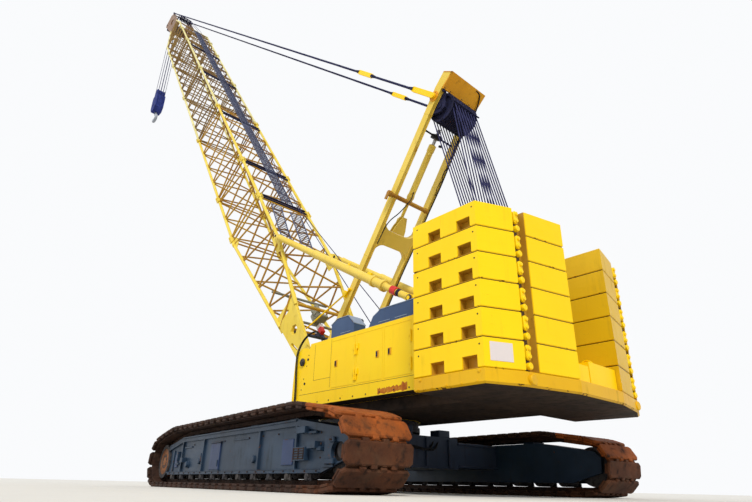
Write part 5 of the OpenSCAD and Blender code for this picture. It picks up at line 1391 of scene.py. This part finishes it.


# %% [markdown]
# ## Tray
# The stacks stand on a thick tray. Its rim is yellow, while its underside is painted shade and nearly
# black, so the underside is a separate thin plate in a dark finish. Thin dark plates paint the shade under
# the deck and the houses' overhang too.

# %% Tray
half_plan = np.array([[-4.011, SIDE_Y], [-5.452, SIDE_Y], [-5.728, 1.901], [-5.979, 0.74]])
tray_plan = np.concatenate([half_plan, half_plan[::-1] * [1, -1]])
TRAY_YELLOW = painted("tray paint", "yellow_paint", "DCA80C E6B610 5A4010 4A2E10", 0.7, 0.7, 0.4,
    gloss=0.03)
on_upper("tray_body", slab(tray_plan, (), TRAY_Z + 0.004, TRAY_TOP, 0.01, 0.03), TRAY_YELLOW, False,
    ["weight_tray"])
# A nearly black finish for the undersides: painted shade.
UNDERSIDE_SHADE = rusted("painted underside shade", "trim", "0E0A08 241A14 3A2A1E 4A3A2A", 0.3, 1.0, bump=0.003)
beams = blocks([[-5.9, y - 0.06, TRAY_Z + 0.001] for y in (-0.7, 0.7)],
    [[-4.02, y + 0.06, TRAY_Z + 0.02] for y in (-0.7, 0.7)], 0.004)
# Thin dark plates under the deck and under the houses' overhang paint the shade there.
deck_plan = np.array([[-4.0, -1.25], [1.75, -1.25], [1.75, 1.25], [-4.0, 1.25]])
deck_below = join(slab(deck_plan, [ring_of(0, 0, 1.27, 48)], 1.546, 1.5499, 0.001),
    both(boxes([[-3.12, 1.256, 1.7975, 0.68, 1.65, 1.7995], [-4.0, 1.2502, 1.546, 1.74, 1.2535, 1.795]],
    0.0008)))
on_upper("deck_underside_shade", deck_below, UNDERSIDE_SHADE)
on_upper("tray_underside_shade", join(slab(inset(tray_plan, 0.033), (), TRAY_Z + 0.0005, TRAY_Z + 0.02, 0.002),
    beams), UNDERSIDE_SHADE)
rim_discs = both(join(turned([(-0.05, 0.03), (-0.05, 0.075), (-0.04, 0.085), (0.0, 0.085)], 24,
    [[-5.74, 1.79, 1.645]], along_x), bolts([[x, SIDE_Y - 0.001, 1.58] for x in np.arange(-5.3, -4.1, 0.3)],
    0.018, 0.012), bolts([[x, SIDE_Y - 0.001, 1.72] for x in (-5.35, -4.15)], 0.025, 0.014)))
on_upper("tray_rim_discs", rim_discs, TRAY_YELLOW, True)

# %% [markdown]
# ## Houses
# The doors stay as the construction solids, because they swing. What gives them their scale is added: dark
# seams on the fixed front panel, latches in pale surrounds, bolt heads along the deck, handrails on the
# roof, cooling slots on the far side and one long painted shadow in rust-brown tones along the deck's edge.

# %% House details
HOUSE_Y, HOUSE_TOP = 1.655, 3.27
lines_at = boxes([[0.145, HOUSE_Y - 0.001, 2.36, 0.153, HOUSE_Y + 0.0015, 3.22],
    [-0.49, HOUSE_Y - 0.001, 2.14, -0.482, HOUSE_Y + 0.0015, 3.24],
    [-0.49, HOUSE_Y - 0.001, 2.36, 0.145, HOUSE_Y + 0.0015, 2.367],
    [-3.13, HOUSE_Y - 0.001, 2.072, 0.69, HOUSE_Y + 0.0015, 2.08]], 0.0005)
on_upper("house_seams", both(lines_at), SEAM_DIRT_AND_SHADE)
for x, door in ((-0.69, "door_left_1"), (-2.08, "door_left_2"), (-2.45, "door_left_3")):
    frame_ = blocks([x - 0.05, HOUSE_Y - 0.001, 2.57], [x + 0.05, HOUSE_Y + 0.008, 2.72], 0.003)
    lever = blocks([x - 0.005, HOUSE_Y + 0.006, 2.59], [x + 0.03, HOUSE_Y + 0.026, 2.7], 0.004)
    for body, turn_over in ((door, join), (door.replace("left", "right"), mirror)):
        put(f"latch_frame_{body}", turn_over(frame_), body, OCHRE)
        put(f"latch_lever_{body}", turn_over(lever), body, GREASE)
dark_bolts = both(join(bolts([[x, HOUSE_Y - 0.001, 1.86] for x in np.arange(-3.0, 0.65, 0.42)], 0.016,
    0.012), bolts([[x, HOUSE_Y - 0.001, z] for x, z in ((0.62, 2.2), (0.55, 2.45), (0.46, 2.75),
    (0.4, 3.0))], 0.014, 0.01), turned([(0, 0.03), (0.012, 0.03), (0.016, 0.022)], 16,
    [[0.5, HOUSE_Y - 0.002, 2.33], [0.42, HOUSE_Y - 0.002, 2.9]])))
on_upper("house_bolts", dark_bolts, GREASE, True)
# The patch is a painted shadow in rust-brown tones on the deck's side, with a jagged edge.
rng = np.random.default_rng(4)
x = np.linspace(-2.1, -2.95, 26)
top_edge_z = 1.9 + 0.05 * rng.random(26) + np.where(x < -2.8, 0.05, 0)
low_edge_z = 1.845 - 0.04 * rng.random(26)
patch = wall(np.concatenate([np.column_stack([x, top_edge_z]), np.column_stack([x, low_edge_z])[::-1]]), 0,
    0.0018, 0.0004)
on_upper("deck_painted_shadow", copies(patch, [[0, HOUSE_Y - 0.0005, 0]]), DECK_SHADOW_PAINT)
rail_z = HOUSE_TOP + 0.2
far_posts, near_posts = np.linspace(-3.0, 0.2, 6), (-3.0, -1.9, -0.8, 0.2)
rails_ = join(rods([[-3.0, -1.55, rail_z, 0.2, -1.55, rail_z],
    [-3.0, -1.55, rail_z - 0.1, 0.2, -1.55, rail_z - 0.1]], 0.016, 10),
    bars(xyz(far_posts, -1.55, HOUSE_TOP - 0.005), xyz(far_posts, -1.55, rail_z), 0.018, 10),
    bars(xyz(near_posts, 0.955, HOUSE_TOP - 0.01), xyz(near_posts, 0.955, rail_z), 0.018, 10),
    bars([-3.0, 0.955, rail_z], [0.2, 0.955, rail_z], 0.016, 10))
on_upper("house_roof_rails", rails_, HOUSE_YELLOW, True)
slots = copies(blocks([-0.4, -HOUSE_Y - 0.012, 0], [0.1, -HOUSE_Y + 0.001, 0.03], 0.004),
    xyz(0, 0, np.linspace(2.3, 3.0, 12)))
rear_slots = copies(blocks([-3.142, 0, 0], [-3.129, 0.5, 0.03], 0.004),
                    [[0, y, z] for y in (-1.55, 1.05) for z in np.linspace(2.4, 3.0, 10)])
on_upper("house_air_slots", join(slots, rear_slots), HOUSE_YELLOW)

# %% [markdown]
# Two blue boxes on the left roof hold the air filter and the exhaust. Their tops slope, and a lighter lid
# overhangs the sides.

# %% Roof boxes
box_a = wall([[-1.21, 3.275], [-0.38, 3.275], [-0.38, 3.6], [-0.6, 3.71], [-1.0, 3.71], [-1.21, 3.5]], 1.25,
    1.61, 0.012)
box_b = wall([[-3.1, 3.275], [-1.7, 3.275], [-1.85, 3.52], [-2.05, 3.62], [-3.1, 3.62]], 1.25, 1.61, 0.012)
on_upper("roof_box_bodies", join(box_a, box_b), ROOF_BLUE, False, ["roof_boxes"])
LID = painted("pale lid paint", "grey_paint", "7C8CA4 95A2B4 474C56 5A4636", 0.7, 0.5, 0.3, gloss=0.05)
lids = join(wall([[-0.37, 3.6], [-0.6, 3.715], [-1.0, 3.715], [-1.215, 3.5], [-1.215, 3.515],
    [-1.005, 3.729], [-0.595, 3.729], [-0.362, 3.612]], 1.245, 1.615, 0.002),
    boxes([[-3.09, 1.245, 3.618, -2.04, 1.615, 3.638]], 0.004),
    blocks([[x, 1.612, 3.33] for x in (-1.1, -2.9, -2.4)],
    [[x + 0.35, 1.619, 3.345] for x in (-1.1, -2.9, -2.4)], 0.002))
on_upper("roof_box_lids", lids, LID)
pipe = join(bars([-0.75, 1.1, HOUSE_TOP], [-0.75, 1.1, 3.6], 0.05, 20),
    hose(bend([[-0.75, 1.1, 3.55], [-0.75, 1.1, 3.64], [-0.8, 1.1, 3.7], [-0.9, 1.1, 3.72]], 8), 0.05, 16))
on_upper("exhaust_pipe", pipe, WHEEL_STEEL, True)

# %% [markdown]
# ## Winches
# Drums carry many turns of rope side by side, and the turns give the drum its rippled outline. The profile's
# radius goes up and down with a cosine, once for each turn.


# %% Drums and tail sheaves
def wound_drum(r, w, rope=0.014):
    """A drum of half width w. Between its flanges the radius is r + rope |cos(pi y / pitch)|."""
    y = np.linspace(-w + 0.045, w - 0.045, 121)
    wave = np.column_stack([y, r + rope * np.abs(np.cos(np.pi * y / (2.2 * rope)))])
    return lathe(np.concatenate([[[-w, 0.09], [-w, r + 0.14], [-w + 0.008, r + 0.149],
        [-w + 0.034, r + 0.149], [-w + 0.04, r + 0.14]], wave,
        [[w - 0.04, r + 0.14], [w - 0.034, r + 0.149], [w - 0.008, r + 0.149], [w, r + 0.14], [w, 0.09]]]),
        40)


DRUM_HALF, DRUM_Z, TAIL_R = 0.399, 2.56, 0.33
for name, x, r in (("main_drum", 0.15, 0.285), ("second_drum", -1.1, 0.285), ("mast_drum", -2.35, 0.245)):
    solid = join(wound_drum(r, DRUM_HALF), bars([0, -0.455, 0], [0, 0.455, 0], 0.09, 24),
                 bolts(bolt_circle(0, DRUM_HALF, 0, 0.14, 8), 0.016, 0.004))
    put(f"{name}_with_rope", copies(solid, [[x, 0, DRUM_Z]]), name, ROPE, True, [name])
shaft = bars(TAIL - [0, 0.495, 0], TAIL + [0, 0.495, 0], 0.09, 24)
tail_pack = join(sheaves_at(TAIL[0], TAIL[2], TAIL_R, -TAIL_HALF, TAIL_HALF, FALLS), shaft)
put("tail_sheave_pack", tail_pack, "tail_sheaves", GREASE, True, ["tail_sheaves"])


# %% [markdown]
# ## Hook block
# The block hangs on falls of rope from the point sheaves. Its upper part is narrow and its body is two heavy
# side plates with sheaves between, which are drawn as slabs with cut edges. The hook is a bent bar, so its
# section runs along a curve and gets thinner towards the tip.

# %% Hook block and hook
POINT = BOOM @ [BOOM_L, 0, POINT_H, 1]
FALL, BLOCK = 6.5, 2.0
side_plate = np.array([[-0.2, -FALL], [0.2, -FALL], [0.23, -FALL - 0.5], [0.43, -FALL - 0.56],
    [0.47, -FALL - 0.91], [0.46, -FALL - 1.65], [0.25, -FALL - BLOCK], [-0.25, -FALL - BLOCK],
    [-0.46, -FALL - 1.65], [-0.47, -FALL - 0.91], [-0.43, -FALL - 0.56], [-0.23, -FALL - 0.5]])
block_body = join(wall(side_plate, 0.22, 0.31, 0.015), wall(side_plate, -0.31, -0.22, 0.015),
                  wall(side_plate * [0.9, 1] - [0, 0.02], -0.22, 0.22, 0.004))
discs = both(join(turned([(0.0, 0.3), (0.008, 0.3), (0.01, 0.29), (0.01, 0.1)], 32,
    [[0, 0.31, -FALL - 1.15]]), bolts([[0.36 * math.cos(t), 0.308, -FALL - 1.2 + 0.42 * math.sin(t)]
    for t in turns(8) + 0.4], 0.03, 0.012)))
BLOCK_NAVY = rusted("hook block paint", "dark_steel", "10143C 1E2A68 2E3C84 4A4A5C", 0.25, 2.0,
    metallic=0.1)
put("hook_block_body", copies(join(block_body, discs), [POINT]), "hook_block", BLOCK_NAVY, False,
    ["hook_block"])
fall_at = np.array([[s * 0.4165, y, 0] for s in (-0.8, 0.8) for y in (-0.25, -0.1, 0.1, 0.25)])
fall_low = fall_at + [0, 0, -FALL - 0.62]
falls = bars(fall_at, fall_low, 0.016, 8)
put("hook_block_falls", copies(falls, [POINT]), "hook_block", ROPE, True)
weight = lathe([(-0.09, 0.05), (-0.08, 0.09), (0.08, 0.09), (0.09, 0.05)], 16)
put("falls_switch_weight", copies(along_z(weight), [POINT + [-0.3332, -0.25, -2.9]]), "hook_block", GREASE,
    True)
HOOK_GREY = painted("hook paint", "bare_steel", "8E949E A7ACB4 3A3630 4A3426", 0.8, 0.6, 0.6, metallic=0.2)
angle = np.radians(np.linspace(90, 375, 32))
bow = xyz(0.29 * np.cos(angle), 0, -0.52 + 0.29 * np.sin(angle))
bow = np.concatenate([[[0, 0, -0.16]], bow])
thick = np.interp(np.arange(33), [0, 4, 16, 28, 32], [0.08, 0.095, 0.105, 0.08, 0.03])
shank = lathe([(-0.251, 0.088), (-0.2, 0.09), (-0.03, 0.09), (-0.012, 0.08), (-0.002, 0.08)], 20)
hook_solid = join(hose(bow, thick, 16), along_z(shank), bars([-0.06, 0, -0.24], [0.24, 0, -0.52], 0.02, 8))
put("hook_bow", copies(hook_solid, [POINT - [0, 0, FALL + BLOCK]]), "hook", HOOK_GREY, True, ["hook"])

# %% [markdown]
# ## Walkway and cross bars
# A narrow walkway of steel grating runs up the boom's back and black bars lie across at each joint of the
# sections. A grating as one plate would hide the lacing, but from below one sees through the real one, so
# it is made of its bars.

# %% Walkway
BACK = HD + 0.0325
W0, W1, Y0, Y1 = 7.82, 33.45, -0.44, 0.06
rungs = np.arange(W0 + 0.06, W1, 0.14)
grating = join(boxes([[W0, Y0, BACK, W1, Y0 + 0.02, BACK + 0.044],
    [W0, Y1 - 0.02, BACK, W1, Y1, BACK + 0.044], [W0, -0.2, BACK + 0.008, W1, -0.18, BACK + 0.03]], 0.003),
    blocks(xyz(rungs, Y0, BACK + 0.01), xyz(rungs + 0.05, Y1, BACK + 0.036), 0.003))
on_boom("walkway_grating", grating, WALK_BLUE, False, ["boom_walkway"])
at = (7.62, 10.5, 15.85, 22.05, 27.75)
cross_bars = copies(blocks([-0.13, -1.0, BACK - 0.02], [-0.07, 1.0, BACK + 0.04], 0.006),
                    [[s + d, 0, 0] for s in at for d in (0, 0.22)])
on_boom("boom_cross_bars", cross_bars, GREASE)
strips = []
for s_at, y_in, y_out in (((4.45, 5.4, 7.2), (0.59, 0.52, 0.27), (0.96, 0.91, 0.69)),
        ((4.3, 5.15, 7.1), (-0.16, -0.3, -0.55), (0.28, 0.13, -0.08))):
    t = np.linspace(s_at[0], s_at[2], 21)
    inner, outer = np.interp(t, s_at, y_in), np.interp(t, s_at, y_out)
    strips += [bars(xyz(t, inner, BACK + 0.02), xyz(t, outer, BACK + 0.02), 0.014, 6)]
    strips += [hose(xyz(t, edge_y, BACK + 0.02), 0.022, 6) for edge_y in (inner, outer)]
on_boom("foot_walkways", join(*strips), WALK_BLUE)

# %% [markdown]
# Inside the boom's foot sit a grey winch unit, a red box with a white one beside it on a small base, and
# beside its plates the hoses that come up from the deck. They fill the dark knot where boom and deck meet.

# %% Units in the boom foot
unit_body = join(turned([(2.2, 0.05), (2.21, 0.13), (2.23, 0.15), (2.5, 0.15), (2.53, 0.13), (2.55, 0.07)],
    24, [[0, -0.22, 0]], along_x), boxes([[2.15, -0.42, 0.02, 2.28, -0.02, 0.3],
    [2.3, -0.16, 0.12, 2.6, -0.02, 0.36], [2.55, -0.36, 0.02, 2.7, -0.08, 0.16]], 0.015),
    rods([[2.15, -1.05, -0.1, 2.15, 1.05, -0.1], [3.35, -1.05, -0.1, 3.35, 1.05, -0.1]], 0.04, 12))
on_boom("foot_winch_unit", unit_body, UNIT_GREY, True)
on_boom("foot_red_box", boxes([[1.52, -0.12, 0.04, 1.73, 0.02, 0.2]], 0.012), RED)
on_boom("foot_white_box", boxes([[1.735, -0.14, 0.02, 1.87, 0.0, 0.2]], 0.012), PLATE_WHITE)
on_boom("foot_crossbeams", join(rods([[1.45, -1.0, -0.02, 1.45, 1.0, -0.02]], 0.045, 14),
                                  boxes([[1.4, -0.16, -0.03, 1.54, 0.16, 0.06]], 0.01)), NAVY)
foot_hoses = join(*[hose(bend([[1.53, 1.2 + d_, 2.0], [1.53, 1.2 + d_, 2.35], [1.58, 1.2 + d_, 3.01],
    [1.54, 1.2 + d_, 3.35], [1.3, 1.2 + d_, 3.63], [0.95, 1.2 + d_, 3.76], [0.68, 1.2, 3.66 + d_],
    [0.45, 1.15, 3.27]], 10), 0.014) for d_ in (0.0, 0.035)])
on_upper("foot_hoses", foot_hoses, RUBBER, True)

# %% [markdown]
# ## Pins and brackets
# The foot pins end in flat caps with a keeper plate, and the posts of the backstops get round bosses.

# %% Pins and posts
caps = both(join(turned([(0, 0.02), (0, 0.1), (0.02, 0.1), (0.03, 0.085), (0.03, 0.02)], 24,
    [PIN + [0, 1.2, 0]]), bolts(bolt_circle(PIN[0], 1.23, PIN[2], 0.055, 4)),
    turned([(0, 0.02), (0, 0.08), (0.02, 0.08), (0.03, 0.065), (0.03, 0.02)], 24,
    [STOP_FOOT + [0, 1.345, 0]]), turned([(0, 0.05), (0, 0.13), (0.03, 0.13), (0.04, 0.115), (0.04, 0.05)],
    28, [STOP_FOOT + [0, 0.92, 0]]), boxes([[-2.86, 0.915, 1.98, -2.54, 0.928, 2.02],
    [-2.3, 0.915, 1.98, -2.1, 0.928, 2.02]], 0.004)))
on_upper("pin_caps", caps, WHEEL_STEEL, True)


# %% [markdown]
# ## Cab
# The operator's seat is two stuffed cushions on a pedestal, with a padded armrest on the console. A cushion
# is crowned, its sides pull in between the corners and sewn channels press into its top. A cloth simulation
# could stuff it, but powers of sines and cosines already give that shape, and give it the same each time.

# %% Woven cover
woven, take, give = group("woven cover", Thread=(0.05, 0.05, 0.06, 1), Gap=(0.01, 0.01, 0.01, 1),
                          Worn=(0.12, 0.12, 0.13, 1))
spot = own_place(woven)
threads = [joined(woven, "ShaderNodeTexWave", [(spot, "Vector")], bands_direction=way, in_Scale=90.0,
    in_Distortion=0.6).outputs["Fac"] for way in ("X", "Y", "Z")]
weave = calc(woven, "MULTIPLY", calc(woven, "ADD", calc(woven, "MULTIPLY", threads[0], 0.5),
    calc(woven, "MULTIPLY", threads[1], 0.5)),
    calc(woven, "ADD", 0.5, calc(woven, "MULTIPLY", threads[2], 0.5)))
worn = step(woven, noise(woven, spot, 5.0, 5.0), 0.5, 0.72, 0.6)
woven.links.new(tint(woven, worn, tint(woven, weave, take.outputs["Gap"], take.outputs["Thread"]),
    take.outputs["Worn"]), give.inputs["Color"])
woven.links.new(calc(woven, "SUBTRACT", 0.95, calc(woven, "MULTIPLY", worn, 0.2)), give.inputs["Roughness"])
woven.links.new(weave, give.inputs["Height"])
SEAT_CLOTH = finish("seat cloth", "trim", woven, bump=0.001, Thread="2E3138", Gap="121316", Worn="4A4C50")
PIPING = rusted("seat piping", "trim", "0C0C0D 19191A 262627 4A463E", 0.2, 12.0, bump=0.0006)


# %% Cushions
ROWS, CROWN, PULL, CHANNEL, CHANNEL_W = 41, 0.22, 0.04, 0.009, 0.012


def cushion(lo, hi, grooves=(), n=72):
    """A crowned pad between two corners, with channels across x at the grooves.

    With S(t, e) = sgn(t) |t|^e it is (a S(cos v, .4) S(cos u, .35), b S(cos v, .4) S(sin u, .35),
    c S(sin v, .7)), and its sides are drawn in by 4 per cent half way between the corners.
    """
    lo, hi = np.array(lo, float), np.array(hi, float)
    mid, half = (lo + hi) / 2, (hi - lo) / 2
    power = lambda t, e: np.sign(t) * np.abs(t) ** e
    v, u = np.meshgrid(np.linspace(-np.pi / 2 + 0.03, np.pi / 2 - 0.03, ROWS), turns(n), indexing="ij")
    tall = power(np.cos(v), 0.4)
    x, y, z = tall * power(np.cos(u), 0.35), tall * power(np.sin(u), 0.35), power(np.sin(v), 0.7)
    up = np.where(z > 0, z, 0)
    pulled = xyz(x * (1 - PULL * (1 - y**2)), y * (1 - PULL * (1 - x**2)), z)
    points = mid + pulled * half
    crown = up * half[2] * CROWN * (1 - 0.5 * (x**2 + y**2))
    points[..., 2] += crown - half[2] * CROWN
    for at in grooves:
        points[..., 2] -= up * CHANNEL * np.exp(-(((points[..., 0] - at) / CHANNEL_W) ** 2))
    rim = points[ROWS // 2]
    return skin(points), np.concatenate([rim, rim[:2]])


base_pad, base_rim = cushion([1.17, -2.12, 2.29], [1.64, -1.69, 2.42], (1.33, 1.49))
back_pad, back_rim = cushion([-3.1, -0.0, 0.0], [-2.42, 0.43, 0.125], (-2.93, -2.76, -2.59))
upright = np.array([[0, 0, 1.0, 1.152], [0, 1.0, 0, -2.12], [-1.0, 0, 0, 0]])
arm_pad, arm_rim = cushion([1.2, -1.655, 2.545], [1.6, -1.505, 2.6])
for name, pad_ in (("seat_cushion", base_pad), ("seat_back_cushion", place(back_pad, upright)),
        ("armrest_pad", arm_pad)):
    piece = on_upper(name, pad_, SEAT_CLOTH, True, ["cab_seat"] if name == "seat_cushion" else ())
on_upper("seat_piping", join(hose(base_rim, 0.006),
    hose(back_rim @ upright[:, :3].T + upright[:, 3], 0.006), hose(arm_rim, 0.003)), PIPING, True)
stand_ = join(boxes([[1.22, -2.06, 1.852, 1.6, -1.74, 1.95], [1.26, -2.02, 1.95, 1.56, -1.78, 2.25],
    [1.2, -2.1, 2.25, 1.62, -1.71, 2.29], [1.156, -1.655, 2.305, 1.74, -1.505, 2.55],
    [1.2, -1.7, 2.33, 1.6, -1.65, 2.38]], 0.012),
    hose(bend([[1.66, -1.58, 2.54], [1.67, -1.58, 2.6], [1.69, -1.58, 2.68]], 6), 0.009),
    turned([(-0.03, 0.008), (-0.02, 0.022), (0.01, 0.026), (0.028, 0.012)], 16, [[1.692, -1.58, 2.7]],
    along_z))
on_upper("seat_stand_and_console", stand_, UNIT_GREY, True)

# %% [markdown]
# Each pane sits in a black rubber seal. A seal is one ring-shaped plate laid over the opening, so the same
# function serves every side of the cab by way of a turning matrix. A wiper, a grab rail and a door handle
# are what any such cab carries.

# %% Seals and cab fittings
CAB = {"front": np.array([[0, 0, 1.0, 2.75], [1.0, 0, 0, 0], [0, 1.0, 0, 0]]),
    "rear": np.array([[0, 0, -1.0, 0.85], [-1.0, 0, 0, 0], [0, 1.0, 0, 0]]),
    "left": np.array([[-1.0, 0, 0, 0], [0, 0, 1.0, -1.38], [0, 1.0, 0, 0]]),
    "right": np.array([[1.0, 0, 0, 0], [0, 0, -1.0, -2.43], [0, 1.0, 0, 0]]),
    "roof": np.array([[1.0, 0, 0, 0], [0, 1.0, 0, 0], [0, 0, 1.0, 3.95]])}


def seal(side_, u0, v0, u1, v1):
    """A rubber ring round the opening u0 to u1 by v0 to v1 on one side of the cab."""
    ring_ = lambda d: [[u0 - d, v0 - d], [u1 + d, v0 - d], [u1 + d, v1 + d], [u0 - d, v1 + d]]
    return place(slab(ring_(0.022), [ring_(-0.012)], -0.008, 0.008, 0.004), CAB[side_])


seals = join(seal("front", -2.32, 2.35, -1.49, 3.83), seal("rear", 1.53, 2.9, 2.28, 3.8),
    seal("left", -2.6, 2.75, -1.0, 3.8), seal("right", 1.82, 2.45, 2.62, 3.8),
    seal("roof", 1.9, -2.25, 2.55, -1.56))
on_upper("cab_window_seals", seals, RUBBER)
put("cab_door_seal", seal("right", 1.05, 2.75, 1.61, 3.71), "cab_door", RUBBER)
put("cab_door_handle", join(bars([1.6, -2.455, 2.45], [1.6, -2.455, 2.65], 0.011, 12),
    rods([[1.6, -2.455, 2.46, 1.6, -2.429, 2.46], [1.6, -2.455, 2.64, 1.6, -2.429, 2.64]], 0.009, 10)),
    "cab_door", GREASE, True)
wiper = join(rods([[2.752, -1.75, 2.42, 2.78, -1.75, 2.42], [2.775, -1.75, 2.42, 2.77, -2.0, 3.15]], 0.012,
    10), boxes([[2.757, -2.02, 2.8, 2.77, -1.995, 3.5]], 0.004))
on_upper("cab_wiper", wiper, RUBBER, True)
rail_ = lambda x, z0, z1: hose(bend([[x, -2.43, z0], [x, -2.49, z0 + 0.02], [x, -2.5, z0 + 0.1],
    [x, -2.5, z1 - 0.1], [x, -2.49, z1 - 0.02], [x, -2.43, z1]], 8), 0.013, 10)
trims = boxes([[0.85, -2.44, 3.90, 2.75, -2.428, 3.93], [0.85, -1.382, 3.90, 2.75, -1.37, 3.93]], 0.004)
on_upper("cab_rails_and_gutters", join(rail_(1.76, 2.2, 3.1), rail_(0.91, 2.3, 3.2), trims), HOUSE_YELLOW,
    True)


# %% [markdown]
# ## Floor and finish
# A pale plain floor takes the crane's shadow. It runs far enough for its edge to meet the sky at the horizon.

# %% Floor
floor_mesh = bpy.data.meshes.new("floor")
FAR_EDGE = 900.0
floor_mesh.from_pydata([(x * FAR_EDGE, y * FAR_EDGE, 0) for x, y in ((-1, -1), (1, -1), (1, 1), (-1, 1))],
    [], [(0, 1, 2, 3)])
floor = bpy.data.objects.new("floor", floor_mesh)
floor_paint = bpy.data.materials.new("pale floor")
floor_paint.use_nodes = True
tree = floor_paint.node_tree
spot = own_place(tree)
tree.links.new(tint(tree, noise(tree, spot, 0.6, 6.0), rgb("E2DED6"), rgb("D6D1C7")),
    tree.nodes["Principled BSDF"].inputs["Base Color"])
tree.nodes["Principled BSDF"].inputs["Roughness"].default_value = 0.9
floor_mesh.materials.append(floor_paint)
bpy.context.scene.collection.objects.link(floor)

# %% View transform
bpy.context.scene.view_settings.view_transform = "Standard"
